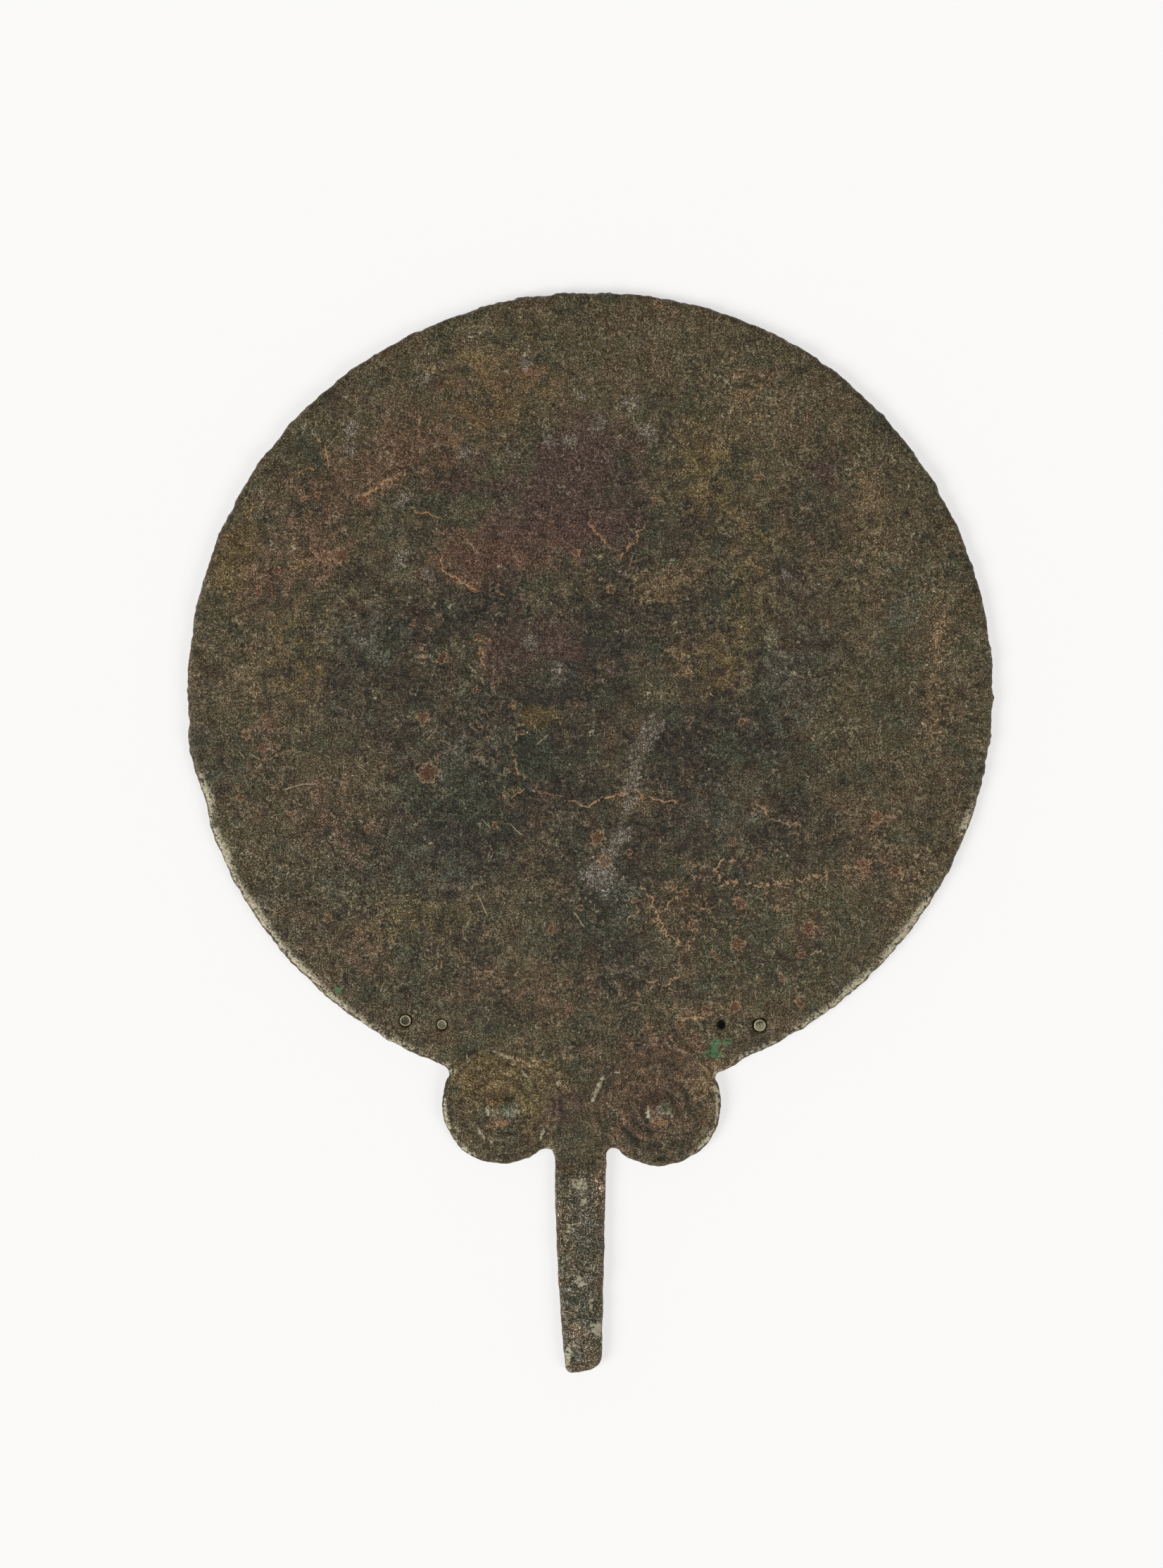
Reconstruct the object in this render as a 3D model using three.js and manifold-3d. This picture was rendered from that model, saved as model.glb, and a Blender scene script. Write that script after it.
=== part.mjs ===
// A cast bronze hand mirror of antiquity, lying on its back with its worked face up.
// A round plate, two small dished bosses under it and a tang are one casting.
// Four small holes go through the plate above the bosses; three still hold rivets.
// Sizes are millimetres. Places are measured from the centre of the round plate,
// +X to the right, +Y towards the top of the plate, +Z out of the worked face.
import * as THREE from 'three';
import { mergeVertices } from 'three/addons/utils/BufferGeometryUtils.js';
import Module from 'manifold-3d';

const wasm = await Module();
wasm.setup();

// The plate and its rounded rim.
const PLATE_THICKNESS = 2.8;
const DISC_RADIUS = 82.4;
const RIM_ROUNDING = 1.25;
const RIM_ROUNDING_STEPS = 3;

// How far the rim departs from a circle: waves per turn, height and the angle of a crest.
const RIM_WAVES = [
  { count: 2, height: 0.38, crest: 20.5 },
  { count: 3, height: 0.13, crest: 22.7 },
  { count: 4, height: 0.09, crest: 65.8 },
  { count: 5, height: 0.11, crest: 63.6 },
];
// Knocks and swellings of the rim: angle, height and half width in degrees.
const RIM_KNOCKS = [
  { angle: 101, height: 0.33, spread: 6 },
  { angle: 57, height: 0.2, spread: 6 },
  { angle: 188, height: 0.28, spread: 3.5 },
  { angle: 196, height: -0.75, spread: 2.4 },
  { angle: -64, height: -0.3, spread: 8 },
];
const RIM_FADE = 5;

// The two bosses are centred a little left of the plate, as the tang is.
const BOSSES = [
  { side: -1, x: -18.1, y: -84.7, radius: 12.2, knobX: -17.9, knobY: -86.0 },
  { side: 1, x: 14.3, y: -84.6, radius: 12.7, knobX: 14.5, knobY: -85.9 },
];
// Fillets where each boss meets the plate and the tang, left and right.
const PLATE_FILLETS = { left: 1.7, right: 1.2 };
const TANG_FILLETS = { left: 2.0, right: 1.5 };

// The dish of a boss, from its middle outwards: share of its radius, and depth.
const DISH_PROFILE = [
  [0, -0.4], [0.27, -0.42], [0.35, -0.2], [0.41, -0.2], [0.46, -0.4], [0.57, -0.16],
  [0.62, -0.16], [0.67, -0.36], [0.8, -0.1], [0.85, -0.12], [0.89, -0.3], [0.975, 0.02],
];
const KNOB_RADIUS = 3.1;
const KNOB_HEIGHT = 1.15;
const KNOB_FOOT_DEPTH = 0.4;
const KNOB_BURIED = 0.4;
const KNOB_FLANK_POWER = 1.35;
const KNOB_STEPS = 6;

// Two thin ridges run down between the bosses and lean towards each other.
const RIDGES = [
  { from: [-8.6, -75.6], to: [-5.7, -81.4] },
  { from: [2.7, -79.4], to: [0.1, -85.0] },
];
const RIDGE_WIDTH = 0.9;
const RIDGE_HEIGHT = 0.22;
const RIDGE_BURIED = 0.4;

// The tang: its two edges at the root, how far each comes in by the end, and the end.
const TANG = {
  leftEdge: -7.15, rightEdge: 3.4, rootY: -96.0, endY: -139.95,
  leftInset: 2.25, leftPower: 1.9, rightInset: 0.95, rightPower: 1.0,
  endRise: 1.0, leftCorner: 1.35, rightCorner: 3.0,
};
const TANG_STEPS = 8;

// Rivet holes, left to right: each rivet's head stands above or below the face and has
// a shallow dish. The third hole is open.
const HOLES = [
  { rivet: 'rivet_left_outer', x: -37.8, y: -67.4, diameter: 2.3, head: 0.08, dish: 0.35 },
  { rivet: 'rivet_left_inner', x: -30.3, y: -68.2, diameter: 2.0, head: -0.15, dish: 0.12 },
  { rivet: null, x: 27.0, y: -68.2, diameter: 1.65 },
  { rivet: 'rivet_right_outer', x: 34.9, y: -68.4, diameter: 2.45, head: 0.1, dish: 0.05 },
];
const RIVET_CLEARANCE = 0.1;
const RIVET_BACK_INSET = 0.1;
const RIVET_CHAMFER = 0.12;
const RIVET_DISH_LIP = 0.72;
const RIVET_DISH_FLOOR = 0.6;
const COUNTERSINK_WIDTH = 0.35;
const COUNTERSINK_DEPTH = 0.3;

// How finely round things are faceted.
const DISC_SIDES = 156;
const BOSS_SIDES = 48;
const FILLET_STEP = 18;
const SMALL_SIDES = 20;
const CUT_MARGIN = 2;

const bronze = new THREE.MeshStandardMaterial({ color: 0x544b3d, roughness: 0.62, metalness: 0.55 });
const worn = new THREE.MeshStandardMaterial({ color: 0x8d877a, roughness: 0.5, metalness: 0.6 });

const radians = THREE.MathUtils.degToRad;

// Points along an arc, from one angle to another in degrees, both ends included.
function arc(centre, radius, from, to, step) {
  const count = Math.max(1, Math.ceil(Math.abs(to - from) / step));
  return Array.from({ length: count + 1 }, (_, i) => {
    const angle = radians(from + ((to - from) * i) / count);
    return new THREE.Vector2(centre.x + radius * Math.cos(angle), centre.y + radius * Math.sin(angle));
  });
}

// The direction from one point to another, in degrees from 0 to 360.
function bearing(from, to) {
  return THREE.MathUtils.euclideanModulo(
    THREE.MathUtils.radToDeg(Math.atan2(to.y - from.y, to.x - from.x)), 360,
  );
}

// Where two circles meet, on the left or the right of the line between their centres.
function circlesMeet(first, firstRadius, second, secondRadius, side) {
  const between = new THREE.Vector2().subVectors(second, first);
  const distance = between.length();
  const along = (firstRadius ** 2 - secondRadius ** 2 + distance ** 2) / (2 * distance);
  const across = side * Math.sqrt(firstRadius ** 2 - along ** 2);
  const unit = between.normalize();
  return new THREE.Vector2(
    first.x + unit.x * along - unit.y * across,
    first.y + unit.y * along + unit.x * across,
  );
}

// Departure of the rim from its circle at an angle, fading out towards the bosses.
function rimDeparture(angle, start, end) {
  const waves = RIM_WAVES.map((w) => w.height * Math.cos(radians(w.count * (angle - w.crest))));
  const knocks = RIM_KNOCKS.map((k) => k.height * Math.exp(-(((angle - k.angle) / k.spread) ** 2)));
  const room = Math.min(angle - start, end - angle);
  const fade = THREE.MathUtils.smoothstep(room, 0, RIM_FADE);
  return fade * [...waves, ...knocks].reduce((sum, value) => sum + value, 0);
}

// The rim of the plate, anticlockwise from the right-hand boss to the left-hand one.
function rimPoints(start, end) {
  const circle = arc(new THREE.Vector2(), 1, start, end, 360 / DISC_SIDES);
  return circle.map((point, i) => {
    const angle = start + ((end - start) * i) / (circle.length - 1);
    return point.multiplyScalar(DISC_RADIUS + rimDeparture(angle, start, end));
  });
}

// A rounded corner: an arc that touches both sides that meet in it.
function roundedCorner(before, corner, after, radius) {
  const back = new THREE.Vector2().subVectors(before, corner).normalize();
  const ahead = new THREE.Vector2().subVectors(after, corner).normalize();
  const half = Math.acos(back.dot(ahead)) / 2;
  const middle = new THREE.Vector2().addVectors(back, ahead).normalize();
  const centre = middle.multiplyScalar(radius / Math.sin(half)).add(corner);
  const touchBack = back.multiplyScalar(radius / Math.tan(half)).add(corner);
  const touchAhead = ahead.multiplyScalar(radius / Math.tan(half)).add(corner);
  const from = bearing(centre, touchBack);
  const turn = THREE.MathUtils.euclideanModulo(bearing(centre, touchAhead) - from, 360);
  return arc(centre, radius, from, from + turn, FILLET_STEP);
}

// One long edge of the tang, from its root to its end.
function tangEdge(rootX, inset, power, endY) {
  return Array.from({ length: TANG_STEPS + 1 }, (_, i) => {
    const share = i / TANG_STEPS;
    const y = THREE.MathUtils.lerp(TANG.rootY, endY, share);
    return new THREE.Vector2(rootX + inset * share ** power, y);
  });
}

// The tang, down its left edge, across its slanting end and up its right edge.
function tangPoints() {
  const left = tangEdge(TANG.leftEdge, TANG.leftInset, TANG.leftPower, TANG.endY);
  const right = tangEdge(TANG.rightEdge, -TANG.rightInset, TANG.rightPower, TANG.endY + TANG.endRise);
  const leftCorner = left.pop();
  const rightCorner = right.pop();
  return [
    ...left,
    ...roundedCorner(left.at(-1), leftCorner, rightCorner, TANG.leftCorner),
    ...roundedCorner(leftCorner, rightCorner, right.at(-1), TANG.rightCorner),
    ...right.reverse(),
  ];
}

// The whole outline, anticlockwise: rim, left boss, tang, right boss.
function outlinePoints() {
  const middle = new THREE.Vector2();
  const [left, right] = BOSSES.map((boss) => {
    const name = boss.side < 0 ? 'left' : 'right';
    const centre = new THREE.Vector2(boss.x, boss.y);
    const plateFillet = PLATE_FILLETS[name];
    const tangFillet = TANG_FILLETS[name];
    const edge = boss.side < 0 ? TANG.leftEdge : TANG.rightEdge;
    const tangFilletX = edge + boss.side * tangFillet;
    const drop = Math.sqrt((boss.radius + tangFillet) ** 2 - (boss.x - tangFilletX) ** 2);
    return {
      centre, plateFillet, tangFillet, radius: boss.radius,
      plateCentre: circlesMeet(
        middle, DISC_RADIUS + plateFillet, centre, boss.radius + plateFillet, boss.side,
      ),
      tangCentre: new THREE.Vector2(tangFilletX, boss.y - drop),
    };
  });
  const rimStart = bearing(middle, right.plateCentre) - 360;
  const rimEnd = bearing(middle, left.plateCentre);
  const bossStep = 360 / BOSS_SIDES;
  return [
    ...rimPoints(rimStart, rimEnd),
    ...arc(left.plateCentre, left.plateFillet, rimEnd - 180,
      bearing(left.plateCentre, left.centre) - 360, FILLET_STEP),
    ...arc(left.centre, left.radius, bearing(left.centre, left.plateCentre),
      bearing(left.centre, left.tangCentre), bossStep),
    ...arc(left.tangCentre, left.tangFillet, bearing(left.tangCentre, left.centre), 0, FILLET_STEP),
    ...tangPoints(),
    ...arc(right.tangCentre, right.tangFillet, 180, bearing(right.tangCentre, right.centre), FILLET_STEP),
    ...arc(right.centre, right.radius, bearing(right.centre, right.tangCentre) - 360,
      bearing(right.centre, right.plateCentre), bossStep),
    ...arc(right.plateCentre, right.plateFillet, bearing(right.plateCentre, right.centre),
      rimStart + 180, FILLET_STEP),
  ];
}

// Drops points that lie on the one before, so that no side of the outline has no length.
function withoutRepeats(points) {
  return points.filter((point, i) => point.distanceTo(points.at(i - 1)) > 0.02);
}

// A closed triangle mesh as a solid that can be joined and cut.
function toSolid(geometry) {
  const bare = geometry.clone();
  bare.deleteAttribute('normal');
  bare.deleteAttribute('uv');
  const merged = mergeVertices(bare, 1e-4);
  return new wasm.Manifold(new wasm.Mesh({
    numProp: 3,
    vertProperties: new Float32Array(merged.attributes.position.array),
    triVerts: new Uint32Array(merged.index.array),
  }));
}

// A solid back to a triangle mesh, with flat shading.
function toGeometry(solid) {
  const mesh = solid.getMesh();
  const geometry = new THREE.BufferGeometry();
  geometry.setAttribute('position', new THREE.BufferAttribute(new Float32Array(mesh.vertProperties), 3));
  geometry.setIndex(new THREE.BufferAttribute(new Uint32Array(mesh.triVerts), 1));
  geometry.computeVertexNormals();
  return geometry;
}

// A turned shape standing on Z: its profile is radius and height, from the axis to the axis.
function turned(profile, sides) {
  const points = profile.map(([radius, height]) => new THREE.Vector2(radius, height));
  return new THREE.LatheGeometry(points, sides).rotateX(Math.PI / 2);
}

// The plate, bosses and tang as one slab with a rounded edge all round.
function slab() {
  const shape = new THREE.Shape(withoutRepeats(outlinePoints()));
  const geometry = new THREE.ExtrudeGeometry(shape, {
    depth: PLATE_THICKNESS - 2 * RIM_ROUNDING,
    bevelThickness: RIM_ROUNDING,
    bevelSize: RIM_ROUNDING,
    bevelOffset: -RIM_ROUNDING,
    bevelSegments: RIM_ROUNDING_STEPS,
    steps: 1,
  });
  return toSolid(geometry.translate(0, 0, RIM_ROUNDING));
}

// What is taken off the face for the ringed dish of a boss.
function dishCutter(boss) {
  const floor = DISH_PROFILE.map(([share, depth]) => [share * boss.radius, PLATE_THICKNESS + depth]);
  const [widest] = floor.at(-1);
  const top = PLATE_THICKNESS + CUT_MARGIN;
  const geometry = turned([...floor, [widest, top], [0, top]], BOSS_SIDES);
  return toSolid(geometry.translate(boss.x, boss.y, 0));
}

// The blunt cone in the middle of a boss: its flanks steepen from the tip to the foot.
function knob(boss) {
  const flank = Array.from({ length: KNOB_STEPS + 1 }, (_, i) => {
    const share = 1 - i / KNOB_STEPS;
    const rise = (KNOB_HEIGHT + KNOB_FOOT_DEPTH) * (1 - share ** KNOB_FLANK_POWER);
    return [KNOB_RADIUS * share, PLATE_THICKNESS - KNOB_FOOT_DEPTH + rise];
  });
  const foot = PLATE_THICKNESS - KNOB_FOOT_DEPTH - KNOB_BURIED;
  const geometry = turned([[0, foot], [KNOB_RADIUS, foot], ...flank], BOSS_SIDES / 2);
  return toSolid(geometry.translate(boss.knobX, boss.knobY, 0));
}

// A low ridge with a three-cornered section that stands on the face.
function ridge({ from, to }) {
  const start = new THREE.Vector3(...from, PLATE_THICKNESS);
  const end = new THREE.Vector3(...to, PLATE_THICKNESS);
  const half = RIDGE_WIDTH / 2;
  const section = new THREE.Shape([
    new THREE.Vector2(-half, -RIDGE_BURIED),
    new THREE.Vector2(half, -RIDGE_BURIED),
    new THREE.Vector2(0, RIDGE_HEIGHT),
  ]);
  const length = start.distanceTo(end);
  const geometry = new THREE.ExtrudeGeometry(section, { depth: length, bevelEnabled: false });
  geometry.rotateX(Math.PI / 2);
  geometry.rotateZ(Math.atan2(end.y - start.y, end.x - start.x) + Math.PI / 2);
  return toSolid(geometry.translate(start.x, start.y, start.z));
}

// What is drilled out for one rivet hole, with a small countersink on the worked face.
function holeCutter(hole) {
  const clearance = hole.rivet ? RIVET_CLEARANCE : 0;
  const radius = hole.diameter / 2 + clearance;
  const top = PLATE_THICKNESS + CUT_MARGIN;
  const geometry = turned([
    [0, -CUT_MARGIN],
    [radius, -CUT_MARGIN],
    [radius, PLATE_THICKNESS - COUNTERSINK_DEPTH],
    [radius + COUNTERSINK_WIDTH, PLATE_THICKNESS],
    [radius + COUNTERSINK_WIDTH, top],
    [0, top],
  ], SMALL_SIDES);
  return toSolid(geometry.translate(hole.x, hole.y, 0));
}

// The casting: the slab, less its dishes, with knobs and ridges, less its holes.
function mirrorBody() {
  let solid = slab();
  for (const boss of BOSSES) solid = solid.subtract(dishCutter(boss));
  for (const boss of BOSSES) solid = solid.add(knob(boss));
  for (const line of RIDGES) solid = solid.add(ridge(line));
  for (const hole of HOLES) solid = solid.subtract(holeCutter(hole));
  return toGeometry(solid);
}

// A rivet: a short pin with a chamfered back end and a shallow dish in its front end.
function rivet(hole) {
  const radius = hole.diameter / 2;
  const head = PLATE_THICKNESS + hole.head;
  return turned([
    [0, RIVET_BACK_INSET],
    [radius - RIVET_CHAMFER, RIVET_BACK_INSET],
    [radius, RIVET_BACK_INSET + RIVET_CHAMFER],
    [radius, head - RIVET_CHAMFER],
    [radius - RIVET_CHAMFER, head],
    [radius * RIVET_DISH_LIP, head],
    [radius * RIVET_DISH_FLOOR, head - hole.dish],
    [0, head - hole.dish],
  ], SMALL_SIDES);
}

// Puts the model's origin under the middle of the whole, on the surface it lies on.
function originOffset(geometry) {
  geometry.computeBoundingBox();
  const { min, max } = geometry.boundingBox;
  return new THREE.Vector3(-(min.x + max.x) / 2, -(min.y + max.y) / 2, -min.z);
}

const body = new THREE.Mesh(mirrorBody(), bronze);
body.name = 'mirror_body';

const mirror = new THREE.Group();
mirror.position.copy(originOffset(body.geometry));
mirror.add(body);

for (const hole of HOLES.filter((candidate) => candidate.rivet)) {
  const pin = new THREE.Mesh(rivet(hole), worn);
  pin.name = hole.rivet;
  pin.position.set(hole.x, hole.y, 0);
  mirror.add(pin);
}

const group = new THREE.Group();
group.add(mirror);

export default group;
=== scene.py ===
import bpy
import numpy as np
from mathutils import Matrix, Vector
from mathutils.geometry import delaunay_2d_cdt


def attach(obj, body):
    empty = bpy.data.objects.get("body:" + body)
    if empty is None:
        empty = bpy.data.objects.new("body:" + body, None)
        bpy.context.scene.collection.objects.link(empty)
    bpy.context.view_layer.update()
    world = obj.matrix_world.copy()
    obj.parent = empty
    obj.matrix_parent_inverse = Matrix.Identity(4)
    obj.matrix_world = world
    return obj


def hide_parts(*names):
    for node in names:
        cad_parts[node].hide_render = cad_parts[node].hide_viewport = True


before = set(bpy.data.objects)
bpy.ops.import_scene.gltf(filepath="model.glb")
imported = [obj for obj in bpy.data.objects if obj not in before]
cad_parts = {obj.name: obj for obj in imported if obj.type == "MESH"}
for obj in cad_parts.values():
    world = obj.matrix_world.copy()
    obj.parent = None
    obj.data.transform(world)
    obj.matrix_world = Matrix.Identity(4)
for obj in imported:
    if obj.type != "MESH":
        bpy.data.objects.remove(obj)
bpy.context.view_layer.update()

# A cast bronze hand mirror of antiquity, lying on its back with its worked face up.
# Lengths are millimetres and places are measured from the centre of the round plate,
# x to the right, y towards the top of the plate, until a mesh is written in metres.
MM = 0.001
ORIGIN_SHIFT = np.array([-0.1305, 28.920])
rng = np.random.default_rng(7172)

# The casting, as the solids have it.
THICKNESS = 2.8
MIDDLE_HEIGHT = 1.4
DISC_RADIUS = 82.4
RIM_WAVES = ((2, 0.38, 20.5), (3, 0.13, 22.7), (4, 0.09, 65.8), (5, 0.11, 63.6))
RIM_KNOCKS = ((101, 0.33, 6), (57, 0.2, 6), (188, 0.28, 3.5), (196, -0.75, 2.4), (-64, -0.3, 8))
RIM_FADE = 5
BOSS_CENTRES = np.array([[-18.1, -84.7], [14.3, -84.6]])
BOSS_RADII = (12.2, 12.7)
KNOB_CENTRES = np.array([[-17.9, -86.0], [14.5, -85.9]])
KNOB_RADIUS = 3.1
KNOB_HEIGHT = 1.15
KNOB_FOOT = 0.4
PLATE_FILLETS = (1.7, 1.2)
TANG_FILLETS = (2.0, 1.5)
TANG_LEFT = -7.15
TANG_RIGHT = 3.4
TANG_ROOT_Y = -96.0
TANG_END_Y = -139.95
TANG_END_RISE = 1.0
TANG_LEFT_INSET = 2.25
TANG_RIGHT_INSET = 0.95
TANG_LEFT_POWER = 1.9
TANG_CORNERS = (1.35, 3.0)

# The worn rings of a boss, from its middle outwards: share of its radius, and height.
RING_PROFILE = (
    (0, -0.36), (0.27, -0.36), (0.35, -0.2), (0.41, -0.21), (0.46, -0.33), (0.57, -0.18),
    (0.62, -0.18), (0.67, -0.29), (0.8, -0.11), (0.85, -0.12), (0.885, -0.21), (0.935, -0.05),
    (0.975, 0.02), (1.02, 0.0), (1.2, 0.0),
)
# Painted light on the crests and painted shade in the grooves of the boss rings: share of the radius,
# width, and strength, lighter above 0 and darker below 0.
RING_LIGHT_AND_SHADE = (
    (0.38, 0.035, 0.45), (0.46, 0.04, -0.5), (0.595, 0.03, 0.4), (0.68, 0.03, -0.5),
    (0.825, 0.03, 0.35), (0.885, 0.02, -0.45), (1.0, 0.035, -0.75), (0.94, 0.02, 0.35),
)
RIDGES = (((-8.6, -75.6), (-5.7, -81.4)), ((2.7, -79.4), (0.1, -85.0)))
RIDGE_HALF_WIDTH = 0.55
RIDGE_HEIGHT = 0.24

# Holes through the plate: place, radius of the bore. The third is open.
HOLES = ((-37.8, -67.4, 1.25), (-30.3, -68.2, 1.10), (27.0, -68.2, 0.825), (34.9, -68.4, 1.325))
HOLE_SIDES = 28
COUNTERSINK_WIDTH = 0.4
COUNTERSINK_DEPTH = 0.3

# The hammered outline: height, longest and shortest wave. Then how wide its rounding is.
HAMMERING = ((0.085, 16, 5), (0.045, 5, 2.2), (0.03, 2.2, 1.2))
HAMMERING_LOST_ON_TANG = 0.55
ROUNDING = 1.5
ROUNDING_WAVE = 0.28
ROUNDING_LIMITS = (0.95, 2.1)
PIT_COUNT = 620

# The studio: the share of each channel that colours named as seen are to send back; the floor's half
# width and drop in metres, its glow, and how far from the plate's centre the glow starts, in mm; the
# lights' turn about the upright axis and power, their tilt and width in degrees; and the surround,
# which fades from 0.95 at the horizon to 0.16 overhead.
STUDIO_SHARE = np.array([0.50, 0.475, 0.325])
FLOOR_HALF = 8.0
FLOOR_DROP = 0.00002
FLOOR_GLOW = 0.64
DARK_BELOW = (77, 80)
LIGHTS = (("left_light", -62, 2.7), ("right_light", 55, 1.5))
LIGHT_TILT = 54
LIGHT_WIDTH = 30
SURROUND = (("From Min", 0.02), ("From Max", 0.65), ("To Min", 0.95), ("To Max", 0.16))
CAMERA_PLACE = (-0.0018, 0.0100, 0.8958)
CAMERA_LENS = 100

# How far a line of each kind is felt to either side.
CRACK_REACH = 1.6
FLAKE_REACH = 1.8
FLAKE_STEP_REACH = 2.6
SCRATCH_REACH = 1.2

# How closely the surfaces are worked out.
OUTLINE_STEP = 0.45
FACE_STEP = 0.69
BACK_STEP = 1.75
BOSS_RING_STEP = 0.33
BOSS_SPOKE_STEP = 0.42
ROUNDING_TURNS = (22, 40, 56, 70, 82, 90)
BACK_TURNS = (32, 60, 90)
BACK_ROUNDING = 1.15
PAIRS_AT_ONCE = 3_000_000


def smooth(value, low, high):
    """Smooth step: 0 below low, 1 above high, and 3 t^2 - 2 t^3 between, t the share of the way."""
    share = np.clip((value - low) / (high - low), 0, 1)
    return share * share * (3 - 2 * share)


def bell(value, width):
    """exp(-(value / width)^2): 1 at 0, falling away to nothing on both sides."""
    return np.exp(-((value / width) ** 2))


def span(places, centre):
    """Distance of each place from a centre."""
    return np.hypot(*(places - np.asarray(centre)).T)


def whole_turn(count):
    """Evenly spaced angles once round, in radians, with the last one a step short of the first."""
    return np.linspace(0, 2 * np.pi, count, endpoint=False)


def spokes(turn):
    """The direction (cos a, sin a) of each angle a."""
    return np.column_stack([np.cos(turn), np.sin(turn)])


def unit(vector):
    """A vector divided by its length."""
    return vector / np.linalg.norm(vector)


def bearing(start, end):
    """Direction from one place to another, in degrees from 0 to 360."""
    return np.degrees(np.arctan2(end[1] - start[1], end[0] - start[0])) % 360


def arc(centre, radius, start, end, step=0.15):
    """Places centre + radius (cos a, sin a), with a from start to end degrees in steps of about step mm."""
    count = max(3, int(abs(np.radians(end - start)) * radius / step) + 2)
    return np.asarray(centre) + radius * spokes(np.radians(np.linspace(start, end, count)))


def circles_meet(second, first_radius, second_radius, side):
    """Where a circle about the plate's centre meets a second one, left or right of the line of centres.
    Along that line it is (r1^2 - r2^2 + d^2) / 2d from the centre, and across it sqrt(r1^2 - along^2)."""
    distance = np.linalg.norm(second)
    along = (first_radius ** 2 - second_radius ** 2 + distance ** 2) / (2 * distance)
    across = side * np.sqrt(first_radius ** 2 - along ** 2)
    forward = unit(second)
    return forward * along + np.array([-forward[1], forward[0]]) * across


def rim(start, end):
    """The plate's rim: radius 82.4 plus a few slow waves h cos(n (a - crest)) and a few knocks
    h exp(-((a - a0) / spread)^2), which die out within 5 degrees of the bosses."""
    turn = np.arange(start, end, np.degrees(0.15 / DISC_RADIUS))
    radius = sum(height * np.cos(np.radians(count * (turn - crest))) for count, height, crest in RIM_WAVES)
    radius = radius + sum(height * bell(turn - at, spread) for at, height, spread in RIM_KNOCKS)
    radius = DISC_RADIUS + radius * smooth(np.minimum(turn - start, end - turn), 0, RIM_FADE)
    return radius[:, None] * spokes(np.radians(turn))


def rounded_corner(before, corner, after, radius):
    """An arc that touches both sides of a corner: its centre is on the halving line,
    radius / sin(half the corner's angle) away from the corner."""
    back, ahead = unit(before - corner), unit(after - corner)
    half = np.arccos(back @ ahead) / 2
    centre = corner + unit(back + ahead) * radius / np.sin(half)
    reach = radius / np.tan(half)
    start = bearing(centre, corner + back * reach)
    turn = (bearing(centre, corner + ahead * reach) - start) % 360
    return arc(centre, radius, start, start + turn)


def tang_edges():
    """The tang: both long edges come in by inset times share^power on the way to a slanting end
    with two rounded corners."""
    share = np.linspace(0, 1, 220)
    low = TANG_END_Y + TANG_END_RISE
    left = np.column_stack([
        TANG_LEFT + TANG_LEFT_INSET * share ** TANG_LEFT_POWER,
        TANG_ROOT_Y + (TANG_END_Y - TANG_ROOT_Y) * share,
    ])
    right = np.column_stack([
        TANG_RIGHT - TANG_RIGHT_INSET * share,
        TANG_ROOT_Y + (low - TANG_ROOT_Y) * share,
    ])
    left_corner = rounded_corner(left[-20], left[-1], right[-1], TANG_CORNERS[0])
    right_corner = rounded_corner(left[-1], right[-1], right[-20], TANG_CORNERS[1])
    left = left[left[:, 1] > left_corner[0, 1]]
    right = right[right[:, 1] > right_corner[-1, 1]]
    return np.vstack([left, left_corner, right_corner, right[::-1]])


def plain_outline():
    """The outline of the casting, anticlockwise: rim, left boss, tang, right boss, with small
    fillets where the circles and the tang meet."""
    fillets = []
    for centre, radius, plate, tang, edge, side in zip(
            BOSS_CENTRES, BOSS_RADII, PLATE_FILLETS, TANG_FILLETS, (TANG_LEFT, TANG_RIGHT), (-1, 1)):
        tang_x = edge + side * tang
        drop = np.sqrt((radius + tang) ** 2 - (centre[0] - tang_x) ** 2)
        at_plate = circles_meet(centre, DISC_RADIUS + plate, radius + plate, side)
        fillets.append((at_plate, np.array([tang_x, centre[1] - drop])))
    (left_plate, left_tang), (right_plate, right_tang) = fillets
    left, right = BOSS_CENTRES
    start = bearing((0, 0), right_plate) - 360
    end = bearing((0, 0), left_plate)
    return np.vstack([
        rim(start, end),
        arc(left_plate, PLATE_FILLETS[0], end - 180, bearing(left_plate, left) - 360),
        arc(left, BOSS_RADII[0], bearing(left, left_plate), bearing(left, left_tang)),
        arc(left_tang, TANG_FILLETS[0], bearing(left_tang, left), 0),
        tang_edges(),
        arc(right_tang, TANG_FILLETS[1], 180, bearing(right_tang, right)),
        arc(right, BOSS_RADII[1], bearing(right, right_tang) - 360, bearing(right, right_plate)),
        arc(right_plate, PLATE_FILLETS[1], bearing(right_plate, right), start + 180),
    ])


def evenly(line, step, closed=True):
    """The same line with places at equal distances along it: the length is summed along the sides,
    and each new place is found by linear interpolation between two old ones."""
    whole = np.vstack([line, line[:1]]) if closed else line
    sides = np.linalg.norm(np.diff(whole, axis=0), axis=1)
    whole = np.vstack([whole[:1], whole[1:][sides > 1e-9]])
    length = np.concatenate([[0], np.cumsum(sides[sides > 1e-9])])
    count = max(3, int(round(length[-1] / step)))
    wanted = np.linspace(0, length[-1], count + 1)
    places = np.column_stack([np.interp(wanted, length, whole[:, axis]) for axis in (0, 1)])
    return places[:-1] if closed else places


def loop_normals(loop):
    """Outward direction at each place of an anticlockwise loop: the line from the place before
    to the place after, turned a quarter turn to the right."""
    ahead = np.roll(loop, -1, axis=0) - np.roll(loop, 1, axis=0)
    outward = np.column_stack([ahead[:, 1], -ahead[:, 0]])
    return outward / np.linalg.norm(outward, axis=1, keepdims=True)


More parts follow.
